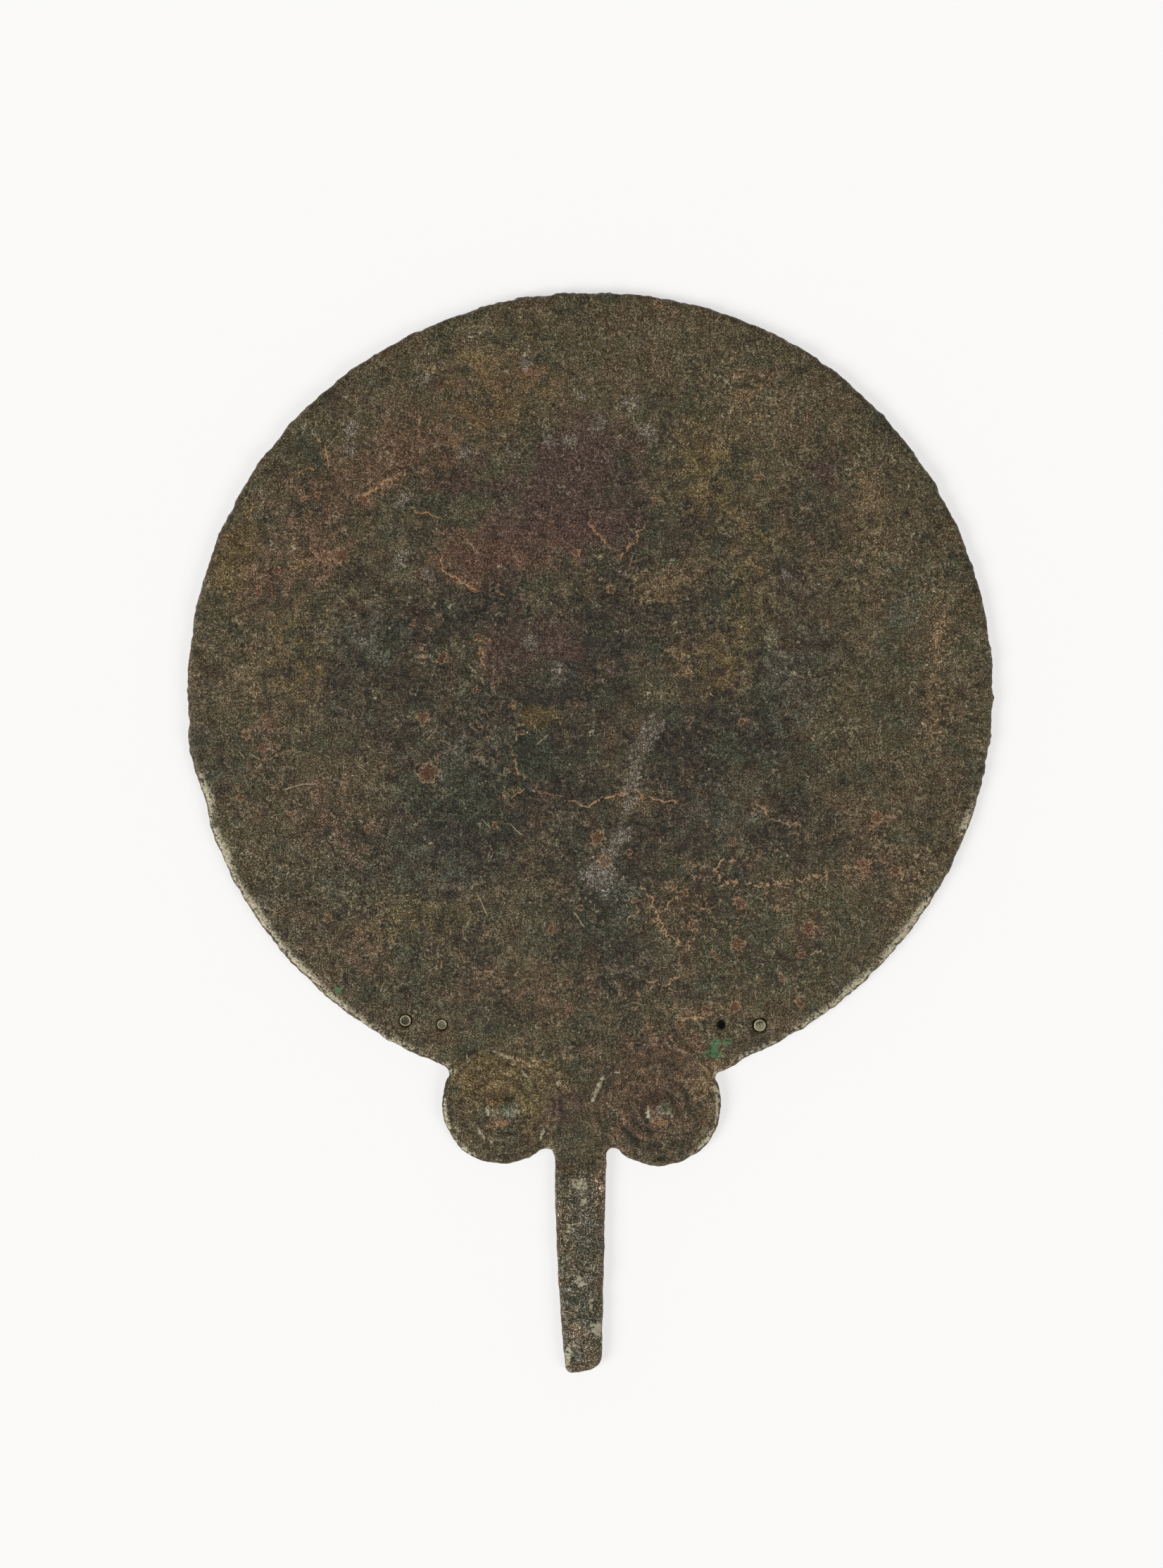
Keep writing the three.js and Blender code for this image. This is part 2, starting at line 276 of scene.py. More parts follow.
def loop_ripple(count, length, longest, shortest, terms=36):
    """An uneven wave round a closed loop: a sum of cosines that fit a whole number of times,
    with random phases, each as high as it is long. Its root mean square is 1."""
    fits = rng.integers(int(length / longest), int(length / shortest), terms)
    phase = rng.uniform(0, 2 * np.pi, terms)
    wave = (np.cos(whole_turn(count)[:, None] * fits + phase) / fits).sum(1)
    return wave / wave.std()


def waves(places, longest, shortest, terms=28):
    """An uneven field over the plan: a sum of plane waves cos(k . p + phase) with random directions,
    wavelengths between shortest and longest, each as high as its square root of length.
    Its root mean square is 1."""
    length = np.exp(rng.uniform(np.log(shortest), np.log(longest), terms))
    turn = rng.uniform(0, 2 * np.pi, terms)
    pull = 2 * np.pi / length * np.array([np.cos(turn), np.sin(turn)])
    phase = rng.uniform(0, 2 * np.pi, terms)
    height = np.sqrt(length / length.sum())
    return (np.cos(places @ pull + phase) * height).sum(1) * np.sqrt(2)


def line_distance(places, line):
    """For each place the distance to the nearest side of the line, positive on its left, and how far
    along the line that is, from 0 to 1. The foot on a side is a + t (b - a), with t the dot product
    over the side's length squared, held between 0 and 1."""
    starts, sides = line[:-1], np.diff(line, axis=0)
    squares = (sides ** 2).sum(1)
    distance, along = np.empty(len(places)), np.empty(len(places))
    blocks = 1 + len(places) * len(sides) // PAIRS_AT_ONCE
    for block in np.array_split(np.arange(len(places)), blocks):
        offset = places[block, None] - starts
        share = np.clip((offset * sides).sum(2) / squares, 0, 1)
        gap = offset - share[..., None] * sides
        near = (gap ** 2).sum(2).argmin(1)
        row = np.arange(len(block))
        left = sides[near, 0] * offset[row, near, 1] - sides[near, 1] * offset[row, near, 0]
        distance[block] = np.linalg.norm(gap[row, near], axis=1) * np.where(left < 0, -1, 1)
        along[block] = (near + share[row, near]) / len(sides)
    return distance, along


# The outline as cast, then as hammered, and the width of its rounding from place to place.
smooth_outline = evenly(plain_outline(), OUTLINE_STEP)
outline_out = loop_normals(smooth_outline)
outline_count = len(smooth_outline)
outline_length = outline_count * OUTLINE_STEP
hammering = sum(
    height * loop_ripple(outline_count, outline_length, longest, shortest)
    for height, longest, shortest in HAMMERING
)
hammering *= 1 - HAMMERING_LOST_ON_TANG * smooth(-smooth_outline[:, 1], 95, 99)
outline = smooth_outline + outline_out * hammering[:, None]
rounding = ROUNDING + ROUNDING_WAVE * loop_ripple(outline_count, outline_length, 40, 6)
rounding = np.clip(rounding, *ROUNDING_LIMITS)
closed_outline = np.vstack([outline, outline[:1]])
closed_rounding = np.append(rounding, rounding[0])


def to_edge(places):
    """Distance inwards from the outline, and the width of the rounding at the nearest place of it.
    Far inside the plate both are only given as far away."""
    edge = np.full(len(places), 99.0)
    width = np.full(len(places), ROUNDING)
    close = np.flatnonzero((np.hypot(*places.T) > DISC_RADIUS - 7) | (places[:, 1] < -64))
    distance, along = line_distance(places[close], closed_outline)
    edge[close] = distance
    width[close] = np.interp(along * outline_count, np.arange(outline_count + 1), closed_rounding)
    return edge, width


def wander(line, step=0.35, amount=0.28):
    """A hand-drawn line: evenly spaced places, moved by seeded waves that die out at its ends."""
    fine = evenly(np.array(line, float), step, closed=False)
    here = np.arange(len(fine)) * step
    lengths = rng.uniform(1.1, 4.5, (2, 5))
    phases = rng.uniform(0, 6.3, (2, 5))
    shift = np.sin(here[:, None, None] * 2 * np.pi / lengths + phases).sum(2) / 2.2
    return fine + amount * shift * np.minimum(1, np.minimum(here, here[-1] - here)[:, None] + 0.2)


# Fine cracks filled with light brown, each with its strength.
CRACKS = [(strength, wander(line)) for strength, line in (
    (1, ((-5, -21.6), (-1.4, -23.6), (0.6, -23), (2.6, -21.7), (7, -21.1), (8.6, -20.3))),
    (0.9, ((8.6, -20.3), (10.3, -21.1), (12.5, -22), (16.6, -22.4), (18.4, -23.4))),
    (0.45, ((-12.9, -19.8), (-9, -20.9), (-5, -21.6))),
    (0.9, ((-17, -21.7), (-15.5, -21.6), (-14.2, -20.4), (-12.9, -19.8))),
    (0.9, ((-16.1, -12.2), (-15.1, -13.5), (-15.1, -15.7), (-14.2, -17.2), (-12.5, -17.7))),
    (1, ((-22.3, 8.6), (-21.5, 5))),
    (0.9, ((-46.7, 39.8), (-44.7, 41.2), (-41.2, 43.5), (-39.6, 43.9))),
    (0.8, ((-37, 37.7), (-34.3, 36.6), (-32, 36.3), (-30.1, 35.4))),
    (1, ((-30.1, 28.5), (-30.4, 25), (-27.4, 23.4), (-24.2, 21.1), (-22.3, 20.7))),
    (0.7, ((-19.6, 21.1), (-17.3, 19.6))),
    (0.9, ((-57.7, 53.2), (-54.4, 51.3), (-53.6, 47.4), (-52.9, 46.1), (-50.9, 45.1))),
    (0.7, ((-55.9, 46), (-57.5, 45.5), (-60.6, 45.1))),
    (0.8, ((-0.7, 34.7), (2.4, 31.8), (4.4, 29.2))),
    (0.8, ((11.6, 34.7), (10.1, 33.1), (9.4, 31), (5.8, 27.1))),
    (0.6, ((12.2, 39.9), (14, 39.6), (15.5, 38.5))),
)]

# Edges where a thin flake of the crust has come away on the left of the line.
FLAKE_EDGES = [(strength, wander(line, amount=0.4)) for strength, line in (
    (1, ((9.7, -38.6), (12.6, -42.4), (13.9, -46), (15.1, -49), (19.7, -52.9), (22.4, -49.4))),
    (0.8, ((13.5, -44.4), (15.9, -44.4), (17.8, -41.2))),
    (0.7, ((22.4, -44.4), (25.2, -44.4), (27, -42.8), (26.6, -42.1))),
    (1, (
        (31.4, -34.7), (27.5, -34.7), (25.4, -36.3), (27.9, -38.9), (35.1, -39.8), (42.9, -38.7),
        (49.1, -37),
    )),
    (0.7, ((8.3, -42.4), (9.9, -44.7), (8.6, -46.2), (7, -47.8))),
    (0.9, ((11.6, -58.7), (15.5, -60.4), (17.4, -59.1), (18.5, -57.9))),
    (0.7, ((9.7, -61), (10.4, -62.6), (10.6, -64))),
    (0.9, ((17.8, -66), (19.4, -67.2), (23.6, -66.7), (25.2, -66))),
    (0.8, ((45.2, -54), (48.4, -52.5))),
    (0.7, ((43.6, -38.6), (54.9, -36), (60.9, -34.3))),
    (0.6, ((-28, -52), (-24, -56.5), (-19.5, -58), (-17, -62))),
    (0.6, ((34, -22), (38, -26.5), (44, -27))),
)]

# Small curled rims left by burst blisters: place and radius.
BLISTERS = (
    (-33.1, -16.8, 1.9), (1.8, -29.9, 1.7), (30.5, -51.7, 1.5), (44.8, -48.3, 1.7), (30.9, -43.5, 2.2),
)

# Bright scratches, each with its strength.
SCRATCHES = [(strength, wander(line, amount=0.06)) for strength, line in (
    (1, ((-63, -20.2), (-59.6, -19.1), (-55.8, -18.8))),
    (0.8, ((-55.8, -39.2), (-53.2, -41.1))),
    (0.9, ((-23.2, -41.1), (-20.9, -46.1))),
    (1, ((-3.3, -45.1), (-0.8, -48.6))),
    (0.8, ((-5.4, -47.8), (-4.9, -49.4))),
    (0.9, ((-21.9, -26.3), (-20.2, -28.1))),
    (0.9, ((-16.4, -27.1), (-13.8, -29.5))),
    (0.8, ((9, -18.5), (11.7, -16.8))),
    (0.7, ((-8.3, -8.6), (-10.9, -10.9))),
    (0.7, ((-31.6, -8), (-33.7, -10))),
    (0.8, ((-48, -14.9), (-45.6, -16.5))),
    (0.8, ((-69.4, -12.8), (-67.5, -14.1))),
    (0.6, ((-72.1, -12), (-70.8, -13.6))),
    (0.6, ((-52, 20), (-49.5, 17.5))),
    (0.6, ((48, -10), (50.5, -7.5))),
)]


def line_field(places, lines, reach):
    """Signed distance to the nearest of several lines, held to reach, and how strongly that line is
    felt: its strength on the line, fading smoothly to nothing at reach and at its two ends."""
    side, felt = np.full(len(places), reach), np.zeros(len(places))
    for strength, line in lines:
        inside = (places > line.min(0) - reach) & (places < line.max(0) + reach)
        pick = np.flatnonzero(inside.all(1))
        if not len(pick):
            continue
        distance, along = line_distance(places[pick], line)
        ends = smooth(np.minimum(along, 1 - along), -0.02, 0.12)
        here = strength * ends * (1 - smooth(np.abs(distance), reach * 0.45, reach))
        closer = np.abs(distance) < np.abs(side[pick])
        side[pick[closer]] = distance[closer]
        felt[pick[closer]] = here[closer]
    return side, felt


def patches(places, spots):
    """Soft patches of patina: for each (x, y, half length, half width, turn, strength) the value
    strength exp(-q^2), q the distance in an ellipse turned that way, joined as 1 - product(1 - value)."""
    bare = np.ones(len(places))
    for x, y, half_length, half_width, turn, strength in spots:
        cos, sin = np.cos(np.radians(turn)), np.sin(np.radians(turn))
        dx, dy = places[:, 0] - x, places[:, 1] - y
        square = ((dx * cos + dy * sin) / half_length) ** 2 + ((dy * cos - dx * sin) / half_width) ** 2
        bare *= 1 - strength * np.exp(-square)
    return 1 - bare


def round_spots(spots, strength):
    """Spots given only as (x, y, radius), as round patches of one strength."""
    return [(x, y, radius, radius, 0, strength) for x, y, radius in spots]


# Pits of the corroded face: place, radius and depth.
pit_places = rng.uniform([-83, -140], [83, 83], (PIT_COUNT, 2))
pit_radii = rng.uniform(0.7, 1.7, PIT_COUNT)
pit_depths = 0.05 * rng.uniform(0.3, 1, PIT_COUNT) ** 2 * pit_radii


def pitted(places):
    """Depth of the pits: for each pit depth times exp(-(r / radius)^4), a bowl with a steep wall."""
    depth = np.zeros(len(places))
    order = np.argsort(places[:, 0])
    xs = places[order, 0]
    for centre, radius, deep in zip(pit_places, pit_radii, pit_depths):
        first, last = np.searchsorted(xs, [centre[0] - 2 * radius, centre[0] + 2 * radius])
        pick = order[first:last]
        depth[pick] += deep * np.exp(-((span(places[pick], centre) / radius) ** 4))
    return depth


def boss_relief(places):
    """Height added by both bosses: the ring profile read at share = distance / radius, the knob
    (height + foot)(1 - (r / radius)^1.35) standing on its foot, and a slight wobble of the rings."""
    height = np.zeros(len(places))
    shares, levels = np.array(RING_PROFILE).T
    fine = np.linspace(0, 1.2, 260)
    level = np.interp(fine, shares, levels)
    kernel = np.exp(-(np.linspace(-2, 2, 9) ** 2))
    level = np.convolve(np.pad(level, 4, mode="edge"), kernel / kernel.sum(), mode="valid")
    for centre, radius, knob in zip(BOSS_CENTRES, BOSS_RADII, KNOB_CENTRES):
        offset = places - centre
        turn = np.arctan2(offset[:, 1], offset[:, 0])
        wobble = 0.012 * np.sin(3 * turn + radius) + 0.008 * np.sin(7 * turn)
        share = np.hypot(*offset.T) / radius + wobble
        wear = 0.85 + 0.12 * np.sin(2 * turn + 1.1) + 0.05 * waves(places, 6, 2.5)
        dish = np.interp(share, fine, level) * np.where(share < 0.5, 1, wear)
        out = span(places, knob) / KNOB_RADIUS
        cone = (KNOB_HEIGHT + KNOB_FOOT) * (1 - np.minimum(out, 1) ** 1.35) - KNOB_FOOT
        inside = share < 1.19
        height[inside] = np.where(out < 1, np.maximum(cone, dish), dish)[inside]
    return height


def ridge_relief(places):
    """Height of the two thin ridges between the bosses: a cosine hump across each, fading at its ends."""
    height = np.zeros(len(places))
    for start, end in RIDGES:
        side, along = line_distance(places, np.array([start, end]))
        across = 0.5 + 0.5 * np.cos(np.pi * np.clip(side / RIDGE_HALF_WIDTH, -1, 1))
        height += RIDGE_HEIGHT * across * smooth(np.minimum(along, 1 - along), -0.01, 0.15)
    return height


def blister_relief(places):
    """Height of the curled rims of burst blisters: a ring, the bell of r - r0, that is lower on one
    side, and a shallow floor inside it."""
    height = np.zeros(len(places))
    for x, y, radius in BLISTERS:
        dx, dy = places[:, 0] - x, places[:, 1] - y
        away = np.hypot(dx, dy) * (1 + 0.12 * np.sin(3 * np.arctan2(dy, dx) + x))
        lip = bell(away - radius, 0.36) * (0.75 + 0.25 * np.sin(np.arctan2(dy, dx) + y))
        height += 0.08 * lip - 0.07 * (1 - smooth(away, radius * 0.6, radius))
    return height


def hole_relief(places):
    """Height by the holes: the face falls to the bore over the countersink's width, and a faint
    dint surrounds it."""
    height = np.zeros(len(places))
    for x, y, radius in HOLES:
        out = span(places, (x, y)) - radius
        height -= COUNTERSINK_DEPTH * (1 - smooth(out, 0, COUNTERSINK_WIDTH))
        height -= 0.06 * bell(out, 1.1)
    return height


def face_relief(places, edge):
    """Height of the worked face above the plate's thickness: slow undulation from the hammer, the
    leathery crust, dents near the rim, pits, steps at flake edges, cracks, scratches, blisters,
    holes, bosses and ridges."""
    shares = [span(places, centre) / radius for centre, radius in zip(BOSS_CENTRES, BOSS_RADII)]
    calm = 1 - 0.75 * np.exp(-(np.minimum(*shares) ** 8))
    by_rim = 1 - smooth(edge, 2, 8)
    on_tang = smooth(-places[:, 1], 97, 101)
    height = 0.07 * waves(places, 34, 12) + 0.04 * waves(places, 9, 4.5) * (1 + by_rim)
    height += 0.026 * waves(places, 4, 2.0, terms=60) * (1 + on_tang)
    height -= 0.05 * np.maximum(0, waves(places, 5, 2.6, terms=60) - 0.8)
    height -= pitted(places) * (1 + 0.5 * by_rim)
    side, felt = line_field(places, FLAKE_EDGES, FLAKE_STEP_REACH)
    height += felt * (0.05 * (1 - 2 * smooth(side, -0.22, 0.22)) + 0.05 * bell(side, 0.3))
    side, felt = line_field(places, CRACKS, CRACK_REACH)
    height += felt * (0.05 * bell(side - 0.3, 0.3) - 0.06 * bell(side, 0.22))
    side, felt = line_field(places, SCRATCHES, SCRATCH_REACH)
    height -= felt * 0.05 * bell(side, 0.2)
    height += blister_relief(places)
    return height * calm + hole_relief(places) + boss_relief(places) + ridge_relief(places)


def face_height(places, edge, width):
    """Height of the upper surface: the face's relief inside, and towards the outline a quarter of an
    ellipse, middle + (face - middle) sqrt(1 - (1 - edge / width)^2)."""
    face = THICKNESS + face_relief(places, edge) - 0.12 * (1 - smooth(edge, width * 0.8, width * 2.6))
    share = np.clip(edge / width, 0, 1)
    return MIDDLE_HEIGHT + (face - MIDDLE_HEIGHT) * np.sqrt(1 - (1 - share) ** 2)


def back_height(places, edge):
    """Height of the back: shallow hollows that rise from the flat it lies on, and a rounded edge."""
    hollow = 0.05 + 0.03 * waves(places, 30, 10) + 0.014 * waves(places, 7, 4)
    hollow = np.maximum(hollow, 0) + pitted(places[:, ::-1] * [1, -1]) * 0.8
    share = np.clip(edge / BACK_ROUNDING, 0, 1)
    return MIDDLE_HEIGHT + (hollow - MIDDLE_HEIGHT) * np.sqrt(1 - (1 - share) ** 2)


def hexagons(step):
    """Places step apart over the whole piece, every other row moved by half a step, each moved a
    little at random so that no rows show."""
    rows = np.arange(-141, 84, step * np.sqrt(3) / 2)
    columns = np.arange(-85, 85, step)
    x, y = np.meshgrid(columns, rows)
    x = x + np.where(np.arange(len(rows)) % 2, step / 2, 0)[:, None]
    grid = np.column_stack([x.ravel(), y.ravel()])
    grid += rng.uniform(-0.12, 0.12, grid.shape) * step
    from_bosses = np.min([span(grid, centre) - 15 for centre in BOSS_CENTRES], axis=0)
    on_tang = (np.abs(grid[:, 0] + 1.9) < 7) & (grid[:, 1] < -90)
    return grid[(np.hypot(*grid.T) < DISC_RADIUS + 1) | (from_bosses < 0) | on_tang]


def inset_loops(turns, width):
    """Loops inside the outline, at width (1 - cos a) from it for each turn a."""
    loops = []
    for turn in turns:
        inset = np.broadcast_to(width * (1 - np.cos(np.radians(turn))), outline_count)
        loop = outline - outline_out * inset[:, None]
        distance, _ = line_distance(loop, closed_outline)
        loops.append(loop[distance > inset * 0.97])
    return np.vstack(loops)


def hole_loops(outs):
    """Circles round each hole, out mm beyond its bore, HOLE_SIDES places on each."""
    circle = spokes(whole_turn(HOLE_SIDES))
    return np.vstack([(x, y) + circle * (radius + out) for out in outs for x, y, radius in HOLES])


def boss_rings():
    """Places on circles about each boss, one ring step apart, with a spoke step between them."""
    rings = []
    for centre, radius in zip(BOSS_CENTRES, BOSS_RADII):
        for out in np.arange(BOSS_RING_STEP / 2, radius + 0.5, BOSS_RING_STEP):
            count = max(6, int(2 * np.pi * out / BOSS_SPOKE_STEP))
            rings.append(centre + out * spokes(whole_turn(count) + out))
    return np.vstack(rings)


def beside(lines, offsets):
    """Places in rows beside each line, at the given distances to its left, so that a step is sharp."""
    rows = []
    for _, line in lines:
        ahead = np.gradient(line, axis=0)
        left = np.column_stack([-ahead[:, 1], ahead[:, 0]]) / np.linalg.norm(ahead, axis=1, keepdims=True)
        rows += [line + left * offset for offset in offsets]
    return np.vstack(rows)


def apart(places, step):
    """Keeps one place in each square of a fine grid, so that no two are much closer than step."""
    cell = np.floor(places / step).astype(np.int64)
    _, first = np.unique(cell[:, 0] * 100003 + cell[:, 1], return_index=True)
    return places[np.sort(first)]


def clear_of_holes(places, out):
    """True where a place is further than out beyond the bore of every hole."""
    return np.all([span(places, (x, y)) > radius + out for x, y, radius in HOLES], axis=0)


def triangulate(places):
    """Joins the places of a plan into triangles so that no circle through three corners holds another
    place, keeping the sides of the outline and of the hole loops, which come first. Triangles
    outside the outline or inside a hole are left out, and all are anticlockwise."""
    loops, first = [], 0
    for count in [outline_count] + [HOLE_SIDES] * len(HOLES):
        ring = np.arange(first, first + count)
        loops.append(np.column_stack([ring, np.roll(ring, -1)]))
        first += count
    sides = np.vstack(loops).tolist()
    flat = list(map(Vector, places.tolist()))
    result = delaunay_2d_cdt(flat, sides, [], 0, 1e-7)
    if len(result[0]) != len(places):
        raise ValueError("two places of the plan lie on each other")
    origin = np.array([source[0] for source in result[3]])
    triangles = origin[np.array(result[2])]
    owner = np.full(len(places), -1)
    owner[:outline_count] = 0
    for index in range(len(HOLES)):
        start = outline_count + index * HOLE_SIDES
        owner[start:start + HOLE_SIDES] = index + 1
    owners = owner[triangles]
    same = (owners[:, 0] == owners[:, 1]) & (owners[:, 1] == owners[:, 2])
    keep = ~(same & (owners[:, 0] > 0))
    doubtful = np.flatnonzero(same & (owners[:, 0] == 0))
    distance, _ = line_distance(places[triangles[doubtful]].mean(1), closed_outline)
    keep[doubtful[distance < 0]] = False
    triangles = triangles[keep]
    a, b, c = (places[triangles[:, corner]] for corner in range(3))
    area = (b[:, 0] - a[:, 0]) * (c[:, 1] - a[:, 1]) - (b[:, 1] - a[:, 1]) * (c[:, 0] - a[:, 0])
    triangles[area < 0] = triangles[area < 0][:, ::-1]
    return triangles


def face_plan():
    """All places of the upper surface, in order: outline, hole loops, inset loops, rings of the bosses,
    rows beside the flake edges and cracks, and hexagons elsewhere."""
    rows = [beside(FLAKE_EDGES, (-0.3, 0, 0.3)), beside(CRACKS, (-0.25, 0, 0.25))]
    rows = apart(np.vstack(rows), 0.2)
    rings = boss_rings()
    grid = hexagons(FACE_STEP)
    gaps = [span(grid, centre) - radius for centre, radius in zip(BOSS_CENTRES, BOSS_RADII)]
    grid = grid[np.min(gaps, axis=0) > 0.7]
    side, _ = line_field(grid, FLAKE_EDGES + CRACKS, 0.6)
    grid = grid[np.abs(side) > 0.55]
    inner = []
    for places, gap in ((rings, 0.18), (rows, 0.3), (grid, 0.4)):
        edge, width = to_edge(places)
        inner.append(places[(edge > width + gap) & clear_of_holes(places, 1.0)])
    loops = inset_loops(ROUNDING_TURNS, rounding)
    return np.vstack([outline, hole_loops((0, 0.12, 0.25, 0.4, 0.7)), loops] + inner)


def back_plan():
    """All places of the back, in order: outline, hole loops, inset loops and coarser hexagons."""
    grid = hexagons(BACK_STEP)
    edge, _ = to_edge(grid)
    grid = grid[(edge > BACK_ROUNDING + 0.7) & clear_of_holes(grid, 1.2)]
    return np.vstack([outline, hole_loops((0, 0.15, 0.6)), inset_loops(BACK_TURNS, BACK_ROUNDING), grid])


# Patches of patina on the face, and after them patches where highlights are painted. Each is x, y, half
# length, half width, turn and strength.
RED_BROWN = [
    (-42, 47, 24, 8, 28, 0.6), (-40, 50.2, 5, 3.5, 0, 0.5), (-24.9, 27.8, 7, 4.5, 10, 0.85),
    (-14, 30, 15, 6, 8, 0.5), (-58, 27, 11, 6, 40, 0.5), (-68, 21, 6, 4, 60, 0.35),
    (57, -36, 6, 3, 10, 0.45), (60, -27, 4, 3, 30, 0.4), (46, -50, 5, 3, 20, 0.35),
    (22, -48, 5, 4, 0, 0.3), (-52, -27, 12, 7, -50, 0.3), (-46, -55, 9, 4, -40, 0.4),
    (12, -84, 12, 9, 0, 0.6), (-6, -62, 16, 7, 10, 0.3), (-66, -10, 8, 4, 80, 0.4),
    (18, -72, 10, 4, 0, 0.5), (48, 52, 9, 5, -40, 0.35), (-12, 66, 12, 5, 0, 0.25),
    (35, 64, 7, 5, 0, 0.4), (62, -50, 5, 2, 50, 0.25), (2, -100, 2, 5, 0, 0.4),
]
VIOLET = [
    (-4, 45, 15, 9, 40, 0.8), (-1, 33.5, 13, 7, 10, 0.6), (-22, 29, 9, 6, 0, 0.55),
    (-12, 10, 12, 8, 0, 0.45), (48, 43.7, 7, 6, 0, 0.35), (-26, 42, 10, 7, 0, 0.3),
    (-5.7, -86, 3.5, 5, 0, 0.5), (-30, 62, 14, 5, 25, 0.2), (-46, -8, 12, 8, 0, 0.2),
]
DARK_GREEN = [
    (-57.8, 49.4, 4.6, 3.4, -20, 0.9), (-10.5, -14.4, 5, 4, 0, 0.8), (-16.8, -8.9, 4, 3, 0, 0.6),
    (52.3, 48, 7, 5, 0, 0.6), (12, 33, 8, 6, 0, 0.6), (-28, -20, 12, 8, 10, 0.6),
    (7, -45, 8, 7, 0, 0.4), (-66, -16, 9, 5, -60, 0.45), (-40, -60, 9, 5, -35, 0.5),
    (64, 10, 14, 5, 85, 0.4), (40, -12, 12, 9, 60, 0.35), (-46, -38, 14, 9, -30, 0.35),
    (0, 70, 16, 5, 0, 0.35), (30, -60, 8, 5, 0, 0.4), (-3.2, -134.8, 2, 1.5, 0, 0.6),
    (62, -4, 4, 12, 0, 0.3), (-20, -68, 14, 5, 0, 0.35), (52, -50, 12, 8, 30, 0.55),
    (30, -48, 12, 8, 0, 0.45),
]
OLIVE = [
    (-72.5, 28.9, 4, 9, -15, 0.8), (-10.9, -5.3, 4, 2, 0, 0.95), (27.7, 6.1, 6, 7, 0, 0.5),
    (-21, 57, 18, 7, 20, 0.35), (-20, 66, 12, 6, 10, 0.4), (24, 46, 8, 13, 0, 0.45),
    (-17, -78.5, 9, 5, 0, 1), (-8.5, -82, 4, 5, 0, 0.7), (-24, -80, 4, 4, 0, 0.6),
    (-60, 8, 8, 12, 0, 0.35), (34, 22, 6, 14, 0, 0.35),
    (4, -104, 14, 8, 0, 0.2), (-38, -46, 16, 8, 0, 0.3), (-12, -88, 4, 6, 0, 0.4),
]
TAN = [
    (14.8, 22, 6, 3.4, 10, 0.75), (18.5, 8.2, 2, 1.4, 0, 0.8), (19.2, 4.3, 1.8, 1.4, 0, 0.8),
    (71.8, 14.8, 2.2, 9, 0, 0.55), (70.3, -4, 2, 9, 0, 0.5), (56.6, 42.2, 3, 5, 0, 0.55),
    (-16, -20.6, 3, 1.2, 10, 0.5), (58, 30, 4, 9, -15, 0.35), (25, -79, 3, 5, -60, 0.8),
    (-2.6, -131.8, 1.4, 2.4, 0, 0.7), (2.2, -98.5, 1.2, 4.5, 0, 0.8), (-59.3, 26, 2.2, 1.4, 0, 0.7),
    (-70, 3, 3, 10, 0, 0.3), (20, -66, 7, 2.5, 0, 0.45), (-10, -76, 6, 3, 0, 0.35),
    (32, 60, 10, 5, -20, 0.35), (66, -40, 4, 9, -35, 0.35), (-3.5, -118, 1, 12, 0, 0.35),
]
BLUE_GREY = [
    (-45.8, 10.5, 9, 7, 0, 0.45), (-27.1, -14.1, 8, 6, 0, 0.45), (6.5, -40.5, 3.2, 4.6, -30, 0.85),
    (40, 4, 9, 16, 0, 0.45), (64, 20, 5, 12, 0, 0.35), (8, -56, 9, 7, 0, 0.3),
    (54, -60, 6, 3, 48, 0.6), (-66, -42, 6, 2.4, 60, 0.45), (-6.2, 4.3, 4, 4, 0, 0.3),
    (-1, -108, 3, 9, 0, 0.8), (-2.5, -126, 3, 9, 0, 0.9), (-32, -36, 13, 8, 0, 0.3),
    (26, -26, 12, 8, 0, 0.3),
]
LILAC = round_spots((
    (8.3, 58.8, 1.9), (11.9, 53, 2.3), (2.1, 54.5, 1.7), (-4, 51.2, 1.5), (-8.3, 51.6, 1.4),
    (-15.5, 48.4, 1.4), (-25.4, 48.7, 1.6), (-34, 64.1, 1.3), (-13.4, 67.5, 1.2), (-38.6, 27.2, 1.7),
    (-49, 54, 1.3), (-49.3, 49.7, 1.6), (-37.8, 39.3, 1.3), (-6.2, 4.3, 1.6), (-12.1, 10.2, 1.5),
    (6.5, -29.5, 1.5), (-1.4, 60.5, 1.1), (-55.4, 12.5, 1.2), (40.4, 24, 1.2), (-33, 24, 1.2),
), 0.8) + [
    (13.3, -7.3, 2, 2, 0, 1), (10.9, -10.5, 1.6, 1.9, 0, 0.9), (1.9, -37.7, 3.1, 3.1, 0, 1),
    (8.4, -21, 1.5, 6.5, -20, 0.6), (4.4, -33, 1.7, 4, -35, 0.7), (8.4, -15, 1.6, 4, 0, 0.35),
]
